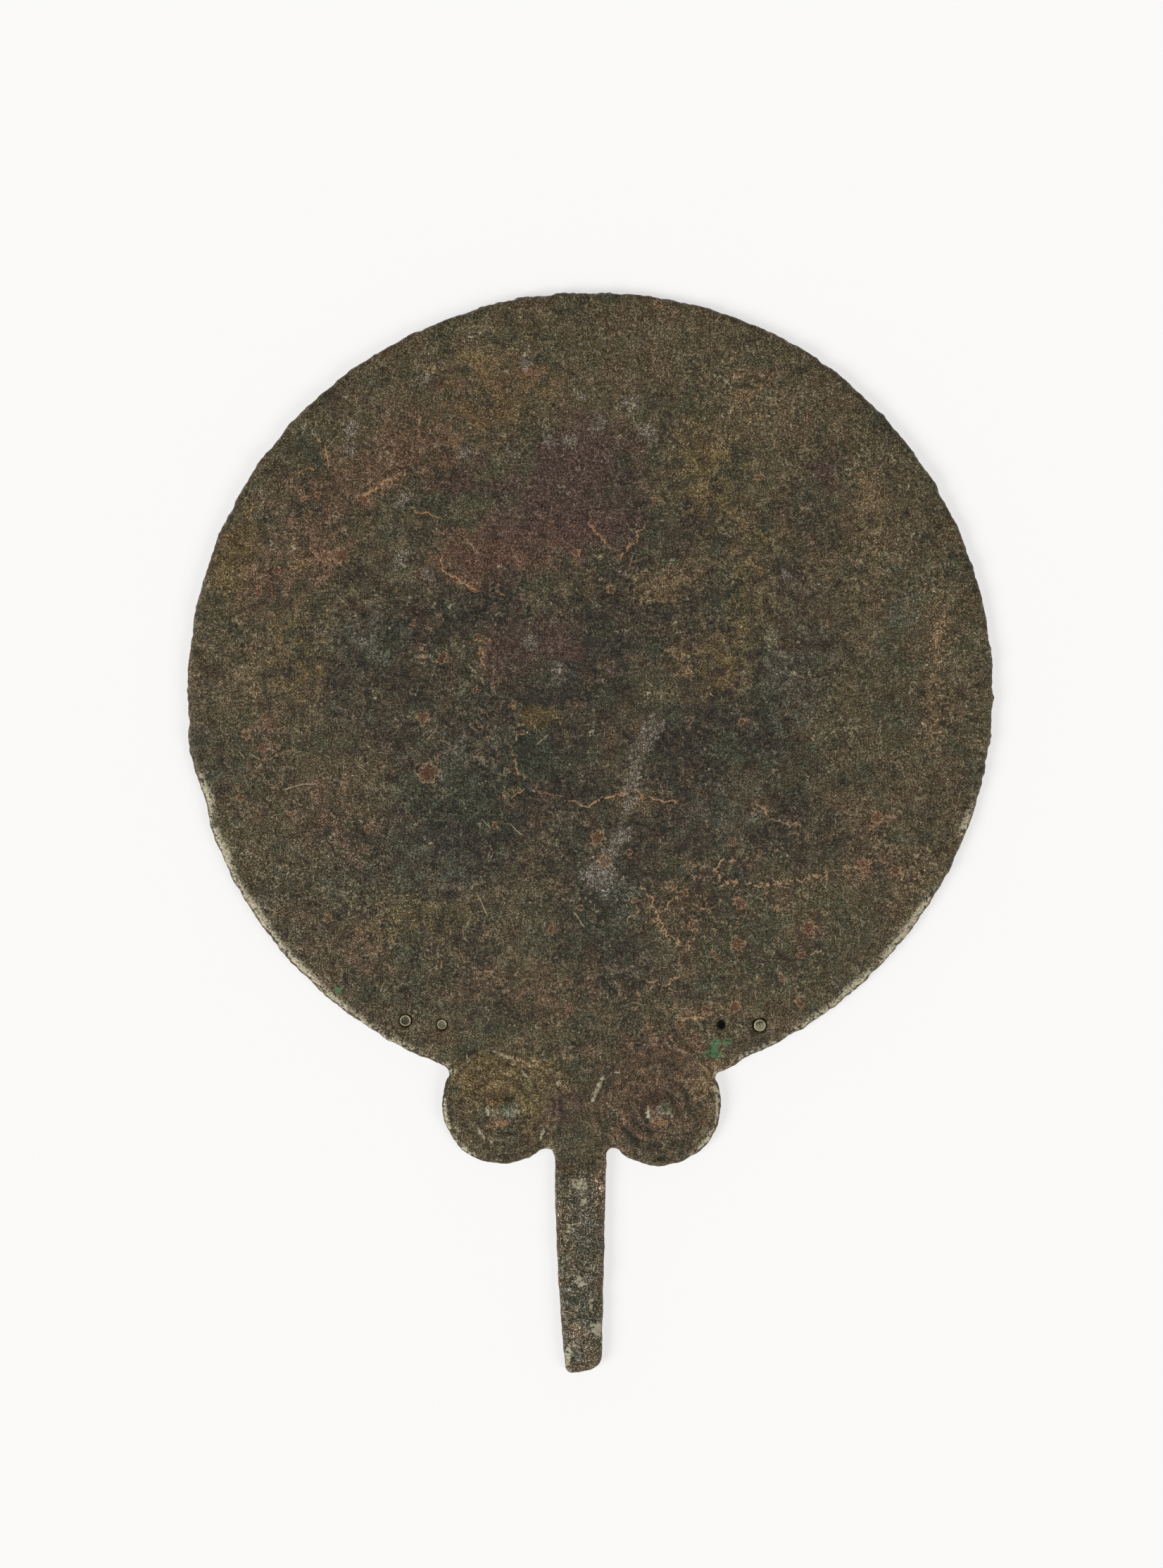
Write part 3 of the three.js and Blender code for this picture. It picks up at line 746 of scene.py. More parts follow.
ORANGE = round_spots((
    (-22.8, 11.2, 1), (-20.6, 10.5, 0.8), (-21.9, 8.2, 0.9), (-30.4, 6.9, 1.1), (-23.3, 0.5, 0.7),
    (-16, -2.7, 0.8), (-14.2, -8.6, 0.8), (-34.2, -5.4, 1.5), (-36.5, 14.1, 0.7), (-50.2, 45.1, 0.8),
    (-45.8, 46.2, 0.7), (-46.7, 39.5, 0.9), (-55.9, 40.5, 0.8), (-58.7, 39.3, 0.7), (-64.2, 24.9, 1),
    (-67.9, 20.7, 0.9), (-23.5, 21.6, 1.1), (2.9, -34.8, 1.5), (8.1, -33.1, 0.8), (9.3, -42.9, 0.7),
    (17.1, -40, 0.8), (19.7, -41.2, 0.8), (20.8, -47.8, 0.9), (-2, -44.4, 0.9), (-7.7, -48.6, 0.8),
    (29.3, -30.8, 0.9), (34.8, -33.3, 0.8), (31.4, -6.1, 0.9), (32.8, 1.8, 0.8), (25.4, -53.6, 0.9),
    (39.4, -58.7, 0.8), (43.6, -54, 0.9), (42.9, -63.9, 1), (23.9, -64.9, 1), (29.8, -64.6, 1.1),
    (-12.7, 65.7, 0.7), (-22.8, 66.7, 0.7), (56.3, -35.6, 1.6), (62.7, -36.9, 1), (58.8, -25.9, 1.6),
    (-53.6, -46.5, 0.8), (-45.6, -28.2, 0.8), (-48.3, -54, 0.7), (-42.8, -52.9, 0.8), (-71.8, -21.6, 1),
    (-61.3, -25, 0.9), (-19.3, -27.5, 0.8), (14, 79.7, 1), (-67.3, -11.5, 1), (-70.5, -8.8, 1.1),
    (-33.1, -16.8, 2), (1.8, -29.9, 1.4), (30.5, -51.7, 1.5), (44.8, -48.3, 1.5), (30.9, -43.5, 1.6),
    (-51, 27.9, 1.3), (-54.5, 27.6, 1), (-2.7, 28.6, 0.8), (4.5, 21, 0.9), (35, 44, 0.9),
), 0.95) + [(-53, 28, 4, 1.2, 0, 0.5), (-34, 8, 1, 4, 0, 0.35), (-41.5, 42.6, 6, 1, 28, 0.5)]
MALACHITE = [
    (25.3, -74.2, 1.2, 1, 0, 1), (25.7, -72.5, 0.8, 0.9, 0, 0.8), (28, -71.7, 1.6, 0.6, 15, 0.6),
    (-51.6, -61, 0.9, 0.7, 0, 0.5), (19.6, -71.6, 1, 0.5, 0, 0.35),
]
FLAKY = [
    (28, -44, 16, 10, -10, 1), (52, -36, 14, 9, 40, 0.9), (40, -56, 14, 7, 35, 0.8),
    (14, -58, 12, 9, 0, 0.7), (-20, -6, 7, 9, 0, 0.6), (-30, -15, 7, 5, 0, 0.6),
    (-66, -12, 6, 12, -20, 0.6), (-60, 30, 12, 8, 40, 0.5), (-42, 46, 12, 7, 25, 0.5),
    (6, 30, 12, 8, 0, 0.45), (22, 10, 9, 12, 0, 0.4), (-46, -52, 12, 8, -40, 0.5),
    (62, 20, 8, 20, 0, 0.3), (-22, 24, 10, 6, -20, 0.5), (16, -72, 12, 5, 0, 0.6),
    (-20, -60, 18, 9, 0, 0.3),
]
# Painted highlights: pale streaks along the lower left and lower right rim, the tang's edge and the bosses'
# edges, where they face the lamps.
RIM_HIGHLIGHT = [
    (-77.7, -20.7, 2.2, 3.4, 15, 1), (-74.8, -32.3, 2, 6, 25, 0.8), (-67.6, -44.5, 1.9, 6, 36, 0.7),
    (-60, -55.5, 2, 7, 45, 0.65), (-50, -64, 1.8, 7, 55, 0.5), (-38.5, -71.6, 1.8, 5, 65, 0.4),
    (76.6, -26.4, 1.6, 3, -18, 0.7), (67.4, -44.6, 1.8, 4.5, -35, 0.7), (62.6, -51, 1.8, 5, -40, 0.75),
    (53.6, -60.6, 1.8, 5, -50, 0.7), (46, -67, 1.6, 5, -58, 0.45), (34, -74, 1.2, 5, -66, 0.4),
    (-30, -77, 1.2, 3, 70, 0.4), (0.6, -117, 0.8, 8, 0, 0.35), (-29.5, -87, 0.7, 5, 10, 0.45),
    (26.6, -84, 0.9, 6, 4, 0.8), (24.5, -91.5, 0.8, 4, -42, 0.7), (-25, -94.5, 0.7, 4, 40, 0.5),
]
# Pale spots: partly rubbed wear on the tang, partly painted highlights on the knobs' flanks, along the two
# ridges and on the bosses' edges.
WORN_AND_HIGHLIT = [
    (-4.4, -136.3, 0.5, 2, 0, 0.9), (1.5, -130.8, 1.2, 1.2, 0, 0.8), (-2.1, -101.2, 1.2, 1, 0, 0.7),
    (-1.8, -120.9, 1, 0.9, 0, 0.7), (-20.9, -86.2, 0.5, 1.5, 20, 0.35), (11.9, -86.3, 0.6, 1.2, 0, 0.4),
    (-14.9, -85.6, 0.5, 1.2, 20, 0.4), (16.4, -86.6, 0.5, 1.2, 30, 0.35), (-7.8, -77.3, 0.3, 2, 27, 0.4),
    (-6.3, -80.4, 0.4, 1.4, 27, 0.5), (0.9, -82.6, 0.4, 2.2, -26, 0.7), (2.2, -80.3, 0.4, 1.4, -24, 0.5),
    (-22.5, -90.3, 0.3, 1.6, 40, 0.4), (-20.3, -92.3, 0.3, 1.4, 55, 0.35), (-9.5, -90.5, 0.35, 2, -30, 0.4),
    (19.8, -87.2, 0.4, 1, -20, 0.45), (-12.6, -79.5, 0.3, 1.8, 35, 0.5), (-0.9, -104.5, 0.7, 1.5, 0, 0.4),
    (-4.6, -110.6, 0.6, 1.6, 0, 0.4), (0.4, -125.5, 0.6, 1.8, 0, 0.4), (-17.5, -74.6, 0.4, 2.4, 70, 0.5),
]
# Painted highlights on the knobs: a grey-green one on the upper right of each, then tan ones on their lower
# and left flanks.
KNOB_HIGHLIGHT = [(-16.4, -85.6, 1.7, 1.6, 0, 0.9), (15.4, -85.3, 1.5, 1.3, 0, 0.8)]
KNOB_TAN_HIGHLIGHT = [
    (-18.6, -88.6, 2.4, 0.8, 10, 0.9), (14, -88.5, 2.2, 0.8, 15, 0.8), (-20.4, -84, 1, 1.4, 0, 0.6),
]

# The broad seeded areas of the back: patina, and how high a wave has to be for it to show.
BACK_FLOORS = (
    ("red_brown", 0.5), ("dark_green", 0.2), ("olive", 0.4), ("tan", 1), ("blue_grey", 0.3),
    ("orange", 1.9), ("malachite", 2.3),
)


def relief_light_and_shade(places):
    """Painted light, above 0, and painted shade, below 0, on the face's relief: lighter crests and darker
    grooves of the boss rings, each a bell about its share of the radius, a dark ring at each knob's foot,
    the ridges lighter along the top and darker beside it, and at each hole a dark ring in the countersink
    and a lighter arc on its right side."""
    marks = np.zeros(len(places))
    for centre, radius, knob in zip(BOSS_CENTRES, BOSS_RADII, KNOB_CENTRES):
        offset = places - centre
        share = np.hypot(*offset.T) / radius
        share = share + 0.012 * np.sin(3 * np.arctan2(offset[:, 1], offset[:, 0]) + radius)
        rings = sum(height * bell(share - middle, width) for middle, width, height in RING_LIGHT_AND_SHADE)
        marks += rings * (1 + 0.45 * waves(places, 9, 3))
        out = span(places, knob) / KNOB_RADIUS
        marks -= 0.7 * bell(out - 1.12, 0.13)
    for start, end in RIDGES:
        side, along = line_distance(places, np.array([start, end]))
        fade = smooth(np.minimum(along, 1 - along), -0.01, 0.15)
        marks += (1.1 * bell(side, 0.3) - 0.5 * bell(np.abs(side) - 0.8, 0.35)) * fade
    for x, y, radius in HOLES:
        out = span(places, (x, y)) - radius
        marks -= 1.5 * bell(out, 0.3)
        marks += 0.5 * bell(out - 0.8, 0.35) * smooth(places[:, 0] - x, -1, 1)
    return marks


def patina(places, edge, face):
    """How much of each patina and of each painted highlight lies at each place, from 0 to 1, the broad tone
    from -1 to 1: darker in the middle, lighter towards the rim and on the tang, and the marks of painted
    light and shade. The back has broad seeded areas only."""
    tone = -0.6 + 1.3 * smooth(span(places, (-4, -6)), 18, 80) + 0.35 * smooth(-places[:, 1], 96, 104)
    tone = tone + 0.2 * waves(places, 60, 18) + 0.28 * smooth(places[:, 1], 25, 75)
    for centre, radius in zip(BOSS_CENTRES, BOSS_RADII):
        tone = tone - 0.4 * smooth(radius + 1 - span(places, centre), 0, 3)
    if face:
        wobble = np.column_stack([waves(places, 7, 2.4), waves(places, 7, 2.4)])
        moved = places + 0.45 * wobble
        masks = {
            "red_brown": patches(moved, RED_BROWN), "violet": patches(moved, VIOLET),
            "dark_green": patches(moved, DARK_GREEN), "olive": patches(moved, OLIVE),
            "tan": patches(moved, TAN), "blue_grey": patches(moved, BLUE_GREY),
            "lilac": patches(places + 0.2 * wobble, LILAC),
            "orange": patches(places + 0.15 * wobble, ORANGE),
            "malachite": patches(places, MALACHITE), "rim_highlight": patches(places, RIM_HIGHLIGHT),
            "worn_and_highlit": patches(places, WORN_AND_HIGHLIT), "knob_highlight": patches(places, KNOB_HIGHLIGHT),
            "knob_tan_highlight": patches(places, KNOB_TAN_HIGHLIGHT), "flaky": 0.12 + 0.88 * patches(moved, FLAKY),
        }
    else:
        masks = {
            name: np.clip((waves(places, 26, 7) - floor) * 0.45, 0, 0.8) for name, floor in BACK_FLOORS
        }
        names = ("violet", "lilac", "rim_highlight", "worn_and_highlit", "knob_highlight", "knob_tan_highlight")
        masks |= {name: np.zeros(len(places)) for name in names} | {"flaky": np.full(len(places), 0.25)}
    for name, lines, reach in (
        ("crack", CRACKS, CRACK_REACH), ("flake", FLAKE_EDGES, FLAKE_REACH),
        ("scratch", SCRATCHES, SCRATCH_REACH),
    ):
        side, felt = line_field(places, lines if face else (), reach)
        masks |= {f"{name}_side": side, f"{name}_felt": felt}
    coarse = 1 + 0.4 * smooth(-places[:, 1], 94, 101) + 0.25 * bell(span(places, (-52, -42)), 26)
    # The marks are painted light and shade on the relief of the face.
    marks = relief_light_and_shade(places) if face else np.zeros(len(places))
    return masks | {"tone": tone, "edge": np.clip(edge, 0, 6), "marks": marks, "coarse": coarse}


def write_mesh(name, corners, triangles, attributes):
    """A closed mesh object at the origin, from corners in mm about the plate's centre, with one
    number for each corner in every attribute."""
    metres = corners.copy()
    metres[:, :2] += ORIGIN_SHIFT
    mesh = bpy.data.meshes.new(name)
    mesh.from_pydata((metres * MM).tolist(), [], triangles.tolist())
    mesh.shade_smooth()
    for label, values in attributes.items():
        mesh.attributes.new(label, "FLOAT", "POINT").data.foreach_set("value", values.astype(np.float32))
    mesh.validate()
    piece = bpy.data.objects.new(name, mesh)
    bpy.context.scene.collection.objects.link(piece)
    return piece


def hole_walls(first_top, first_bottom):
    """The bores: two triangles between each pair of neighbours of a hole's upper and lower loop,
    facing the middle of the hole."""
    ring = np.arange(HOLE_SIDES)
    after = np.roll(ring, -1)
    walls = []
    for index in range(len(HOLES)):
        top, bottom = first_top + index * HOLE_SIDES, first_bottom + index * HOLE_SIDES
        walls.append(np.column_stack([top + ring, top + after, bottom + ring]))
        walls.append(np.column_stack([top + after, bottom + after, bottom + ring]))
    return np.vstack(walls)


def casting():
    """The whole casting as one closed surface: the upper sheet and the back are height fields over
    the plan that share the outline's loop at half thickness, and walls join them in the holes."""
    top = face_plan()
    edge, width = to_edge(top)
    edge[:outline_count] = 0
    top_triangles = triangulate(top)
    top_corners = np.column_stack([top, face_height(top, np.maximum(edge, 0), width)])
    back = back_plan()
    back_edge, _ = to_edge(back)
    back_edge[:outline_count] = 0
    back_triangles = triangulate(back)[:, ::-1]
    back_corners = np.column_stack([back, back_height(back, np.maximum(back_edge, 0))])
    shift = len(top) - outline_count
    back_triangles = np.where(back_triangles < outline_count, back_triangles, back_triangles + shift)
    corners = np.vstack([top_corners, back_corners[outline_count:]])
    walls = hole_walls(outline_count, outline_count + shift)
    triangles = np.vstack([top_triangles, back_triangles, walls])
    over = patina(top, edge, True)
    under = patina(back[outline_count:], back_edge[outline_count:], False)
    attributes = {name: np.concatenate([over[name], under[name]]) for name in over}
    return write_mesh("bronze_mirror_casting", corners, triangles, attributes)


# Rivets: name, place, radius, head above the face, dish, lip width, lean to the right and upwards,
# and how pale the middle of the head is.
RIVETS = (
    ("rivet_left_outer", -37.8, -67.4, 1.15, 0.08, 0.30, 0.30, 0.02, -0.02, 0.0),
    ("rivet_left_inner", -30.3, -68.2, 1.00, -0.10, 0.10, 0.22, 0.03, -0.07, 0.45),
    ("rivet_right_outer", 34.9, -68.4, 1.225, 0.10, 0.07, 0.26, -0.05, 0.02, 1.0),
)
RIVET_SIDES = 44
RIVET_FOOT = 0.1


def rivet(name, x, y, radius, head, dish, lip, lean_x, lean_y, paleness):
    """A rivet as a profile carried round its axis: up the side, over a rounded lip and down into a
    shallow dish. The head leans by lean x + lean y and is dinted by a few seeded waves."""
    level = THICKNESS + head
    profile = np.array([
        (0, RIVET_FOOT), (radius - 0.35, RIVET_FOOT), (radius - 0.1, RIVET_FOOT + 0.03),
        (radius, RIVET_FOOT + 0.15), (radius, 1.2), (radius, level - 0.3), (radius, level - 0.16),
        (radius - 0.03, level - 0.07), (radius - 0.09, level - 0.015), (radius - lip * 0.55, level),
        (radius - lip * 0.8, level - 0.03), (radius - lip, level - dish * 0.5),
        (radius - lip * 1.25, level - dish * 0.9), (radius * 0.6, level - dish),
        (radius * 0.48, level - dish), (radius * 0.36, level - dish * 0.95),
        (radius * 0.24, level - dish), (radius * 0.12, level - dish), (0, level - dish),
    ])
    rings = profile[1:-1]
    plan = (rings[:, :1, None] * spokes(whole_turn(RIVET_SIDES))).reshape(-1, 2)
    corners = np.column_stack([plan, np.repeat(rings[:, 1], RIVET_SIDES)])
    corners = np.vstack([corners, [0, 0, RIVET_FOOT], [0, 0, level - dish]])
    on_head = smooth(corners[:, 2], level - dish - 0.35, level - dish - 0.1)
    dints = 0.018 * waves(corners[:, :2], 1.6, 0.7) + 0.01 * waves(corners[:, :2], 0.7, 0.4)
    corners[:, 2] += on_head * (dints + corners[:, 0] * lean_x + corners[:, 1] * lean_y)
    out = span(corners[:, :2], (0, 0)) / radius
    corners[:, :2] += (x, y)
    around = np.arange(RIVET_SIDES)
    after = np.roll(around, -1)
    faces = []
    for ring in range(len(rings) - 1):
        low, high = ring * RIVET_SIDES, (ring + 1) * RIVET_SIDES
        faces.append(np.column_stack([low + around, low + after, high + after]))
        faces.append(np.column_stack([low + around, high + after, high + around]))
    foot, crown = len(corners) - 2, len(corners) - 1
    last = (len(rings) - 1) * RIVET_SIDES
    faces.append(np.column_stack([after, around, np.full(RIVET_SIDES, foot)]))
    faces.append(np.column_stack([last + around, last + after, np.full(RIVET_SIDES, crown)]))
    worn_and_highlit = bell(out - (1 - lip * 0.55 / radius), lip * 0.5 / radius) * on_head
    marks = {"worn_and_highlit": worn_and_highlit, "pale": on_head * paleness}
    return write_mesh(f"{name}_pin", corners, np.vstack(faces), marks)


def shade(red, green, blue):
    """A colour named by its three 8-bit values as seen in the studio, as the share of light it sends
    back: each value / 255 is ((v + 0.055) / 1.055)^2.4, or v / 12.92 when dark, times STUDIO_SHARE."""
    value = np.array([red, green, blue]) / 255
    linear = np.where(value > 0.04045, ((value + 0.055) / 1.055) ** 2.4, value / 12.92) * STUDIO_SHARE
    return (*linear.tolist(), 1.0)


class Finish:
    """One material's shader nodes and the colour laid on so far. A value may be a number, a colour or
    another node's socket."""

    def __init__(self, name):
        self.material = bpy.data.materials.new(name)
        self.material.use_nodes = True
        self.tree = self.material.node_tree
        self.tree.nodes.clear()
        self.surface = self.add("ShaderNodeBsdfPrincipled")
        self.add("ShaderNodeOutputMaterial", {"Surface": self.surface.outputs[0]})
        place = self.add("ShaderNodeTexCoord").outputs["Object"]
        self.place = self.stretched(place, (1 / MM, 1 / MM, 1 / MM))
        self.colour = None

    def put(self, socket, value):
        """Links a socket to the input, or writes the value into it."""
        if isinstance(value, bpy.types.NodeSocket):
            self.tree.links.new(value, socket)
        else:
            socket.default_value = value

    def add(self, kind, inputs=None, **settings):
        """A node of that kind with its settings, and its inputs by name or number."""
        node = self.tree.nodes.new(kind)
        for name, value in settings.items():
            setattr(node, name, value)
        for name, value in (inputs or {}).items():
            self.put(node.inputs[name], value)
        return node

    def stretched(self, place, scale, turn=0):
        """Places multiplied by a scale on each axis, after a turn about z in degrees."""
        inputs = {"Vector": place, "Scale": scale, "Rotation": (0, 0, np.radians(turn))}
        return self.add("ShaderNodeMapping", inputs).outputs[0]

    def noise(self, size, detail, roughness, place=None, distortion=0.0, offset=0.0):
        """Cloudy noise from 0 to 1 with lumps about size mm wide."""
        where = self.place if place is None else place
        if offset:
            moved = {0: where, 1: (offset, offset * 1.7, offset * 0.6)}
            where = self.add("ShaderNodeVectorMath", moved, operation="ADD").outputs[0]
        return self.add("ShaderNodeTexNoise", {
            "Vector": where, "Scale": 1 / size, "Detail": detail, "Roughness": roughness,
            "Distortion": distortion,
        }).outputs["Fac"]

    def attribute(self, name):
        """A number stored at the mesh's corners."""
        return self.add("ShaderNodeAttribute", attribute_name=name).outputs["Fac"]

    def sum(self, operation, first, second=0.0, third=0.0, clamp=False):
        """One sum or comparison of numbers."""
        inputs = {0: first, 1: second, 2: third}
        return self.add("ShaderNodeMath", inputs, operation=operation, use_clamp=clamp).outputs[0]

    def times(self, *values, clamp=False):
        """The product of several numbers."""
        product = values[0]
        for value in values[1:]:
            product = self.sum("MULTIPLY", product, value, clamp=clamp)
        return product

    def weighed(self, start, *pairs):
        """start plus each value times its weight."""
        for value, weight in pairs:
            start = self.sum("MULTIPLY_ADD", value, weight, start)
        return start

    def swung(self, start, *pairs):
        """start plus, for each noise, its weight times (noise - 1/2)."""
        for noise, weight in pairs:
            start = self.sum("MULTIPLY_ADD", self.sum("SUBTRACT", noise, 0.5), weight, start)
        return start

    def step(self, value, low, high, bottom=0.0, top=1.0):
        """Smooth step of a value between low and high, from bottom to top."""
        return self.add("ShaderNodeMapRange", {
            "Value": value, "From Min": low, "From Max": high, "To Min": bottom, "To Max": top,
        }, interpolation_type="SMOOTHSTEP").outputs["Result"]

    def close_to(self, value, middle, width, core):
        """1 where a value is within core of the middle, and a smooth step down to 0 at width."""
        return self.step(self.sum("ABSOLUTE", self.sum("SUBTRACT", value, middle)), width, core)

    def threads(self, size, width, offset):
        """A net of fine curving threads: where cloudy noise crosses one half, to within width."""
        cloudy = self.noise(size, 2, 0.5, offset=offset, distortion=0.7)
        return self.close_to(cloudy, 0.5, width, width * 0.2)

    def broken(self, name, noise, spread, strength):
        """A patch whose edge is broken up by noise: smooth step of mask + spread (noise - 1/2), times
        strength, and nothing where the mask itself is nearly nothing."""
        mask = self.attribute(name)
        shifted = self.swung(mask, (noise, spread))
        return self.times(self.step(shifted, 0.08, 0.6, 0.0, strength), self.step(mask, 0.02, 0.2))

    def hair(self, name, noise, wiggle, width, breaks, gaps):
        """A fine line: a smooth step of |signed distance + wiggle (noise - 1/2)| within width mm, times
        how strongly the line is felt, broken where another noise is low."""
        side = self.swung(self.attribute(name + "_side"), (noise, wiggle))
        line = self.close_to(side, 0.0, width, width * 0.25)
        return self.times(line, self.attribute(name + "_felt"), self.step(breaks, gaps, gaps + 0.14))

    def blend(self, share, over, kind="MIX"):
        """Mixes another colour into the colour so far, by a share."""
        inputs = {0: share, 6: self.colour, 7: over}
        self.colour = self.add("ShaderNodeMix", inputs, data_type="RGBA", blend_type=kind).outputs[2]

    def paint(self, share, *tint):
        """Lays a tint, named by its three 8-bit values, over the colour so far."""
        self.blend(share, shade(*tint))

    def done(self, height, strength, distance, roughness, metallic):
        """Joins the colour, the gloss and the fine relief, distance metres high, to the surface."""
        bump = self.add("ShaderNodeBump", {"Strength": strength, "Distance": distance, "Height": height})
        for name, value in (
            ("Base Color", self.colour), ("Roughness", roughness), ("Metallic", metallic),
            ("Normal", bump.outputs[0]),
        ):
            self.put(self.surface.inputs[name], value)
        return self.material


def patinated_bronze():
    """Old bronze under a thin, dry crust: two browns mottled by noise, lighter towards the rim, with
    patches of each patina broken up by finer noise, a net of fine light threads painted as glints, a grain
    that is partly the crust's own and partly painted shade in its hollows and painted highlight on its
    crests, painted light and shade on the relief, painted highlights on the rim and knobs, cracks, flake
    edges and scratches as fine lines, and worn metal along the extreme edge."""
    f = Finish("crusted_bronze")
    grain = f.noise(0.27, 2, 0.7)
    crumb = f.noise(0.9, 4, 0.62, offset=31)
    mottle = f.noise(2.8, 4, 0.62, offset=57)
    cloud = f.noise(12, 4, 0.6, offset=83)
    hue = f.noise(6.5, 4, 0.65, offset=11)
    fine_hue = f.noise(1.6, 3, 0.7, offset=23)
    streaks = f.noise(1.1, 4, 0.65, place=f.stretched(f.place, (1, 0.16, 1)), offset=5)
    brushed = f.noise(0.5, 3, 0.6, place=f.stretched(f.place, (1, 0.12, 1), turn=-42), offset=9)
    lines = f.weighed(0.0, (streaks, 0.5), (brushed, 0.5))

    # Fine light threads, where they are lively, are painted glints.
    lively = f.step(f.noise(5.0, 3, 0.6, offset=97), 0.46, 0.62, 0.12, 1.0)
    short_threads = f.times(f.threads(1.1, 0.028, 71), f.step(crumb, 0.46, 0.56), 0.3)
    long_threads = f.times(f.threads(2.6, 0.014, 41), f.step(crumb, 0.48, 0.58))
    threads = f.sum("MAXIMUM", short_threads, long_threads)
    relief = f.weighed(0.0, (mottle, 0.3), (crumb, 0.5), (grain, 0.16), (lines, 0.14), (threads, 0.03))

    # The two browns, then brown and green lumps in them.
    tone = f.swung(f.weighed(0.5, (f.attribute("tone"), 0.49)), (cloud, 2.4), (mottle, 1.4))
    f.colour = shade(38, 33, 21)
    f.paint(f.step(tone, -0.15, 1.15), 95, 83, 60)
    f.paint(f.step(hue, 0.5, 0.64, 0, 0.4), 102, 78, 58)
    f.paint(f.step(hue, 0.5, 0.36, 0, 0.6), 62, 68, 48)
    f.paint(f.step(fine_hue, 0.56, 0.72, 0, 0.06), 108, 84, 66)
    f.paint(f.step(fine_hue, 0.44, 0.3, 0, 0.06), 66, 72, 58)

    # The patches of patina, and last the painted highlights on the knobs: what breaks up the edge, how far,
    # how strongly it covers, and its colour.
    for name, noise, spread, strength, tint in (
        ("dark_green", mottle, 1.6, 0.6, (46, 57, 38)), ("olive", mottle, 1.8, 0.48, (118, 96, 50)),
        ("blue_grey", mottle, 1.8, 0.5, (80, 84, 77)), ("violet", hue, 1.4, 0.85, (77, 53, 51)),
        ("red_brown", mottle, 2.0, 0.5, (108, 73, 57)), ("tan", crumb, 2.2, 0.5, (146, 120, 90)),
        ("lilac", crumb, 1.6, 0.75, (122, 113, 110)), ("knob_tan_highlight", crumb, 0.8, 0.6, (158, 118, 90)),
        ("knob_highlight", crumb, 0.4, 0.7, (140, 144, 130)),
    ):
        f.paint(f.broken(name, noise, spread, strength), *tint)

    # Light and dark grain, partly the crust's own and partly painted shade in the hollows and painted
    # highlight on the crests of the bump it shares its noise with, plus the marks' painted light and shade:
    # each channel times its own number to the power of the grain's height.
    light = f.swung(0.0, (grain, 11.5), (crumb, 2.4), (mottle, 2.0), (lines, 2.2))
    # The marks are painted light and shade on the boss rings, knobs, ridges and holes.
    light = f.weighed(f.times(light, f.attribute("coarse")), (f.attribute("marks"), 0.75))
    powers = {index: f.sum("POWER", base, light) for index, base in enumerate((2.2, 2.33, 3.0))}
    f.blend(1.0, f.add("ShaderNodeCombineColor", powers).outputs[0], "MULTIPLY")
    # A pale painted sheen where the grain and the marks are light.
    f.paint(f.times(f.sum("MAXIMUM", light, 0.0), 0.07, clamp=True), 216, 208, 216)
    # Painted glints along the threads.
    f.paint(f.times(threads, lively, 0.9), 228, 218, 210)

    # Where thin flakes have come away: bare redder ground with a light broken edge.
    flaky = f.attribute("flaky")
    crust_level = f.noise(4.2, 4, 0.6, offset=61, distortion=0.5)
    f.paint(f.times(f.step(crust_level, 0.49, 0.52), flaky, 0.12), 104, 66, 52)
    net = f.close_to(crust_level, 0.5, 0.012, 0.004)
    f.paint(f.times(net, f.step(crumb, 0.46, 0.54), flaky, 0.9), 236, 198, 178)

    # Small reddish crusts with a pale outline.
    orange = f.attribute("orange")
    near = f.step(orange, 0.06, 0.3)
    crust = f.times(f.swung(orange, (crumb, 2.4)), near)
    f.paint(f.step(crust, 0.5, 0.9, 0, 0.6), 128, 74, 56)
    lip = f.times(f.close_to(crust, 0.45, 0.09, 0.02), near, f.step(grain, 0.3, 0.5), 0.95)
    f.paint(lip, 234, 188, 164)

    f.paint(f.hair("flake", crumb, 1.4, 0.2, crumb, 0.40), 238, 196, 176)
    f.paint(f.hair("crack", crumb, 1.5, 0.18, crumb, 0.36), 234, 182, 152)
    f.paint(f.times(f.hair("scratch", grain, 0.3, 0.16, crumb, 0.36), 0.9), 226, 216, 204)
    f.paint(f.broken("malachite", crumb, 3.6, 0.8), 96, 156, 122)

    # Painted highlights as pale specks along the lower rim and on what stands proud: the bosses' edges, the
    # knobs and the ridges, with pale rubbed spots on the tang, then bare metal on the extreme edge.
    edge = f.attribute("edge")
    inside = f.step(f.swung(edge, (crumb, 6.0)), 2.0, 1.2)
    outside = f.step(f.swung(edge, (crumb, 2.0)), 0.2, 0.5)
    specks = f.step(grain, 0.4, 0.56, 0.35, 1.0)
    pale = f.times(f.broken("rim_highlight", crumb, 3.0, 1.0), inside, outside, specks)
    pale = f.sum("MAXIMUM", pale, f.broken("worn_and_highlit", crumb, 2.6, 0.65))
    f.paint(pale, 250, 244, 244)
    bare = f.swung(edge, (mottle, 2.4))
    f.paint(f.step(bare, 0.3, -0.1, 0, 0.6), 128, 94, 66)

    dry = f.sum("MULTIPLY_ADD", f.sum("SUBTRACT", relief, 0.55), -1.4, 0.47)
    dry = f.sum("MULTIPLY_ADD", pale, -0.1, dry, clamp=True)
    f.surface.inputs["Specular IOR Level"].default_value = 0.3
    return f.done(relief, 1.0, 0.6 * MM, dry, f.step(bare, 0.4, -0.1, 0.08, 0.5))


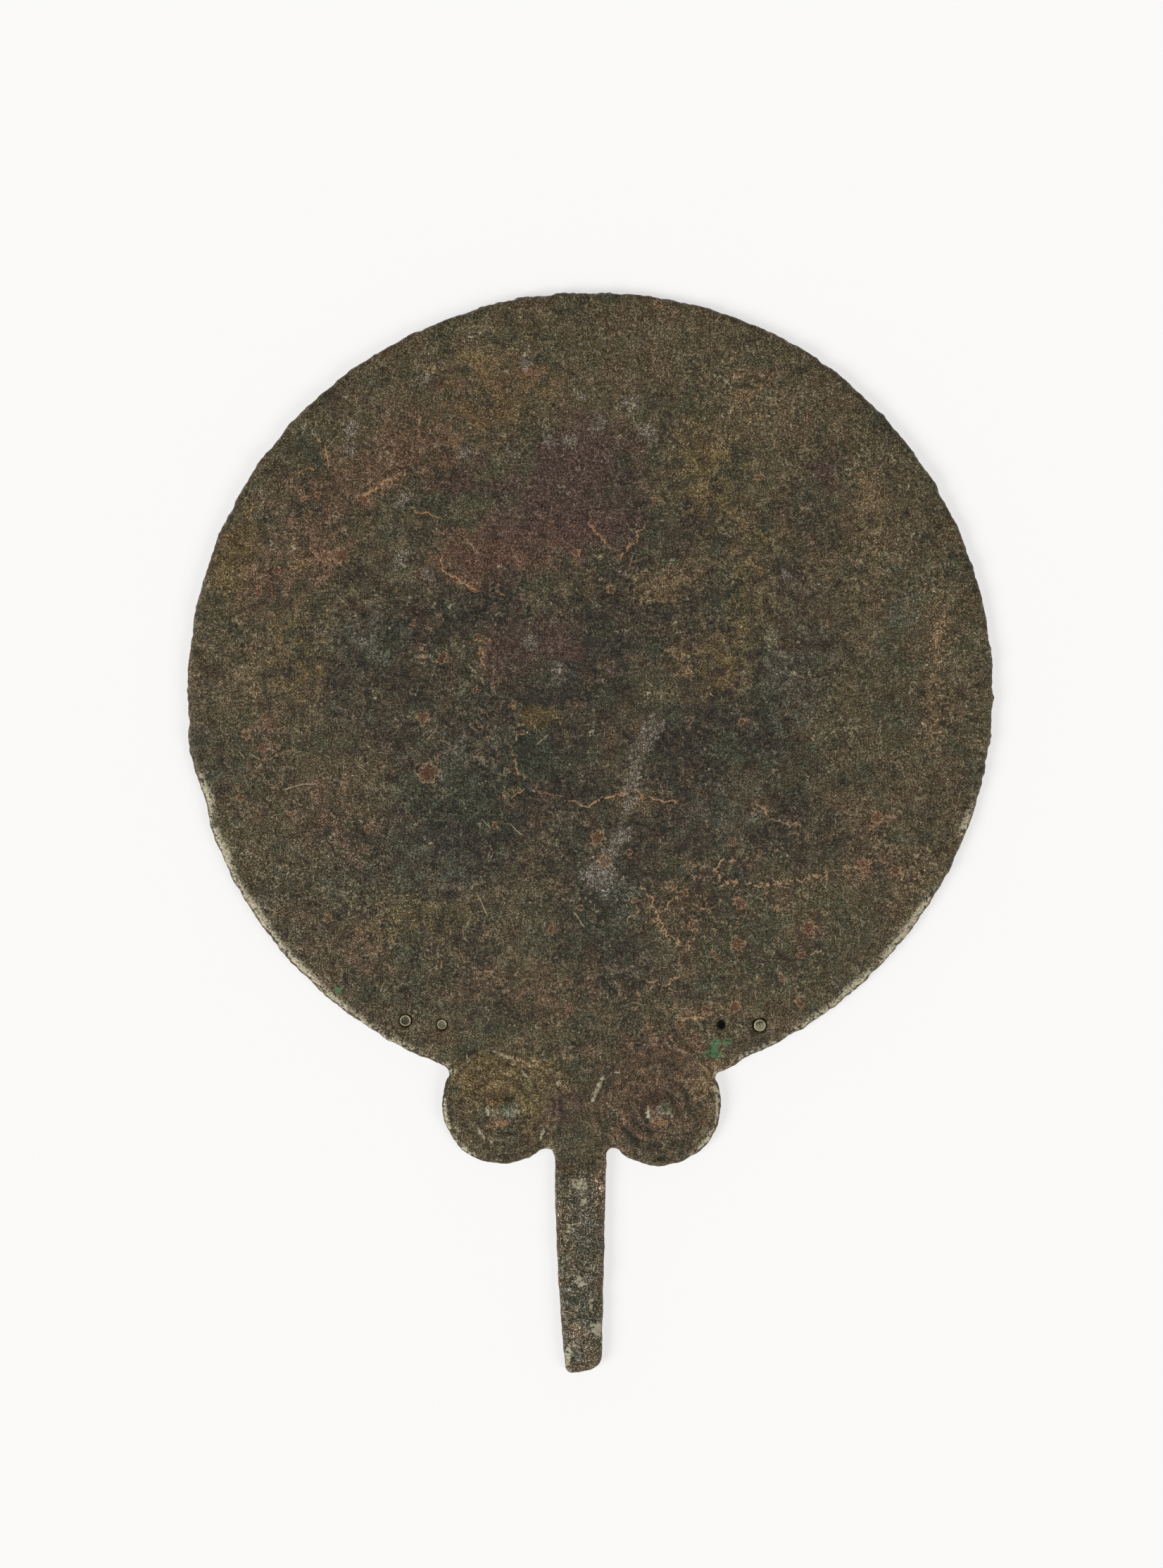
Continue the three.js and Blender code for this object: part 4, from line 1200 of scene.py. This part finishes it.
def rivet_bronze():
    """Rivet metal: grey-green crust with brown stains, worn pale on the lip, in fine grain."""
    f = Finish("worn_rivet_bronze")
    grain = f.noise(0.22, 4, 0.65)
    stain = f.noise(0.8, 4, 0.65, offset=17)
    f.colour = shade(62, 57, 46)
    f.paint(f.step(stain, 0.3, 0.7), 112, 106, 92)
    f.paint(f.step(stain, 0.6, 0.75, 0, 0.5), 120, 76, 58)
    f.paint(f.step(grain, 0.45, 0.3, 0, 0.6), 36, 33, 28)
    f.paint(f.times(f.attribute("pale"), f.step(stain, 0.36, 0.5), 0.8), 190, 186, 176)
    worn_and_highlit = f.times(f.attribute("worn_and_highlit"), f.step(stain, 0.25, 0.5, 0.35, 1.0), clamp=True)
    f.paint(f.times(worn_and_highlit, 0.95), 244, 236, 226)
    dry = f.weighed(f.step(grain, 0.3, 0.7, 0.5, 0.66), (worn_and_highlit, -0.22))
    return f.done(f.sum("ADD", grain, stain), 0.7, 0.08 * MM, dry, f.weighed(0.15, (worn_and_highlit, 0.4)))


def floor():
    """A plain pale floor, one square just below the mirror, that glows a little so that shadows stay
    faint. It doesn't glow beneath the mirror, so the open hole stays dark."""
    corners = FLOOR_HALF * np.array([(-1, -1, 0), (1, -1, 0), (1, 1, 0), (-1, 1, 0)])
    mesh = bpy.data.meshes.new("studio_floor")
    mesh.from_pydata((corners - (0, 0, FLOOR_DROP)).tolist(), [], [(0, 1, 2, 3)])
    piece = bpy.data.objects.new("studio_floor", mesh)
    bpy.context.scene.collection.objects.link(piece)
    f = Finish("studio_paper")
    middle = {0: f.place, 1: (*ORIGIN_SHIFT, 0)}
    away = f.add("ShaderNodeVectorMath", middle, operation="DISTANCE").outputs["Value"]
    for name, value in (
        ("Base Color", (0.30, 0.298, 0.295, 1)), ("Roughness", 0.9), ("Specular IOR Level", 0.1),
        ("Emission Color", (1, 0.994, 0.988, 1)),
        ("Emission Strength", f.step(away, *DARK_BELOW, 0.0, FLOOR_GLOW)),
    ):
        f.put(f.surface.inputs[name], value)
    mesh.materials.append(f.material)
    return piece


def studio():
    """The floor, two broad lights from low left and low right, a pale surround that is dim overhead,
    and a camera that looks straight down on the face."""
    scene = bpy.context.scene
    floor()
    for name, turn, power in LIGHTS:
        light = bpy.data.lights.new(name, "SUN")
        light.energy = power
        light.angle = np.radians(LIGHT_WIDTH)
        lamp = bpy.data.objects.new(name, light)
        lamp.rotation_euler = (np.radians(LIGHT_TILT), 0, np.radians(turn))
        scene.collection.objects.link(lamp)

    world = bpy.data.worlds.new("studio_surround")
    world.use_nodes = True
    nodes, links = world.node_tree.nodes, world.node_tree.links
    split = nodes.new("ShaderNodeSeparateXYZ")
    links.new(nodes.new("ShaderNodeTexCoord").outputs["Generated"], split.inputs[0])
    fade = nodes.new("ShaderNodeMapRange")
    fade.interpolation_type = "SMOOTHSTEP"
    for name, value in SURROUND:
        fade.inputs[name].default_value = value
    links.new(split.outputs["Z"], fade.inputs["Value"])
    links.new(fade.outputs["Result"], nodes["Background"].inputs["Strength"])
    nodes["Background"].inputs["Color"].default_value = (1, 0.99, 0.98, 1)
    scene.world = world

    camera_data = bpy.data.cameras.new("camera")
    camera_data.lens = CAMERA_LENS
    camera_data.sensor_width = 36
    camera_data.clip_start = 0.01
    camera = bpy.data.objects.new("camera", camera_data)
    camera.location = CAMERA_PLACE
    scene.collection.objects.link(camera)
    scene.camera = camera
    scene.view_settings.view_transform = "Standard"


studio()
mirror = casting()
mirror.data.materials.append(patinated_bronze())
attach(mirror, "root")
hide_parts("mirror_body")

rivet_metal = rivet_bronze()
for values in RIVETS:
    pin = rivet(*values)
    pin.data.materials.append(rivet_metal)
    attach(pin, "root")
    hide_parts(values[0])
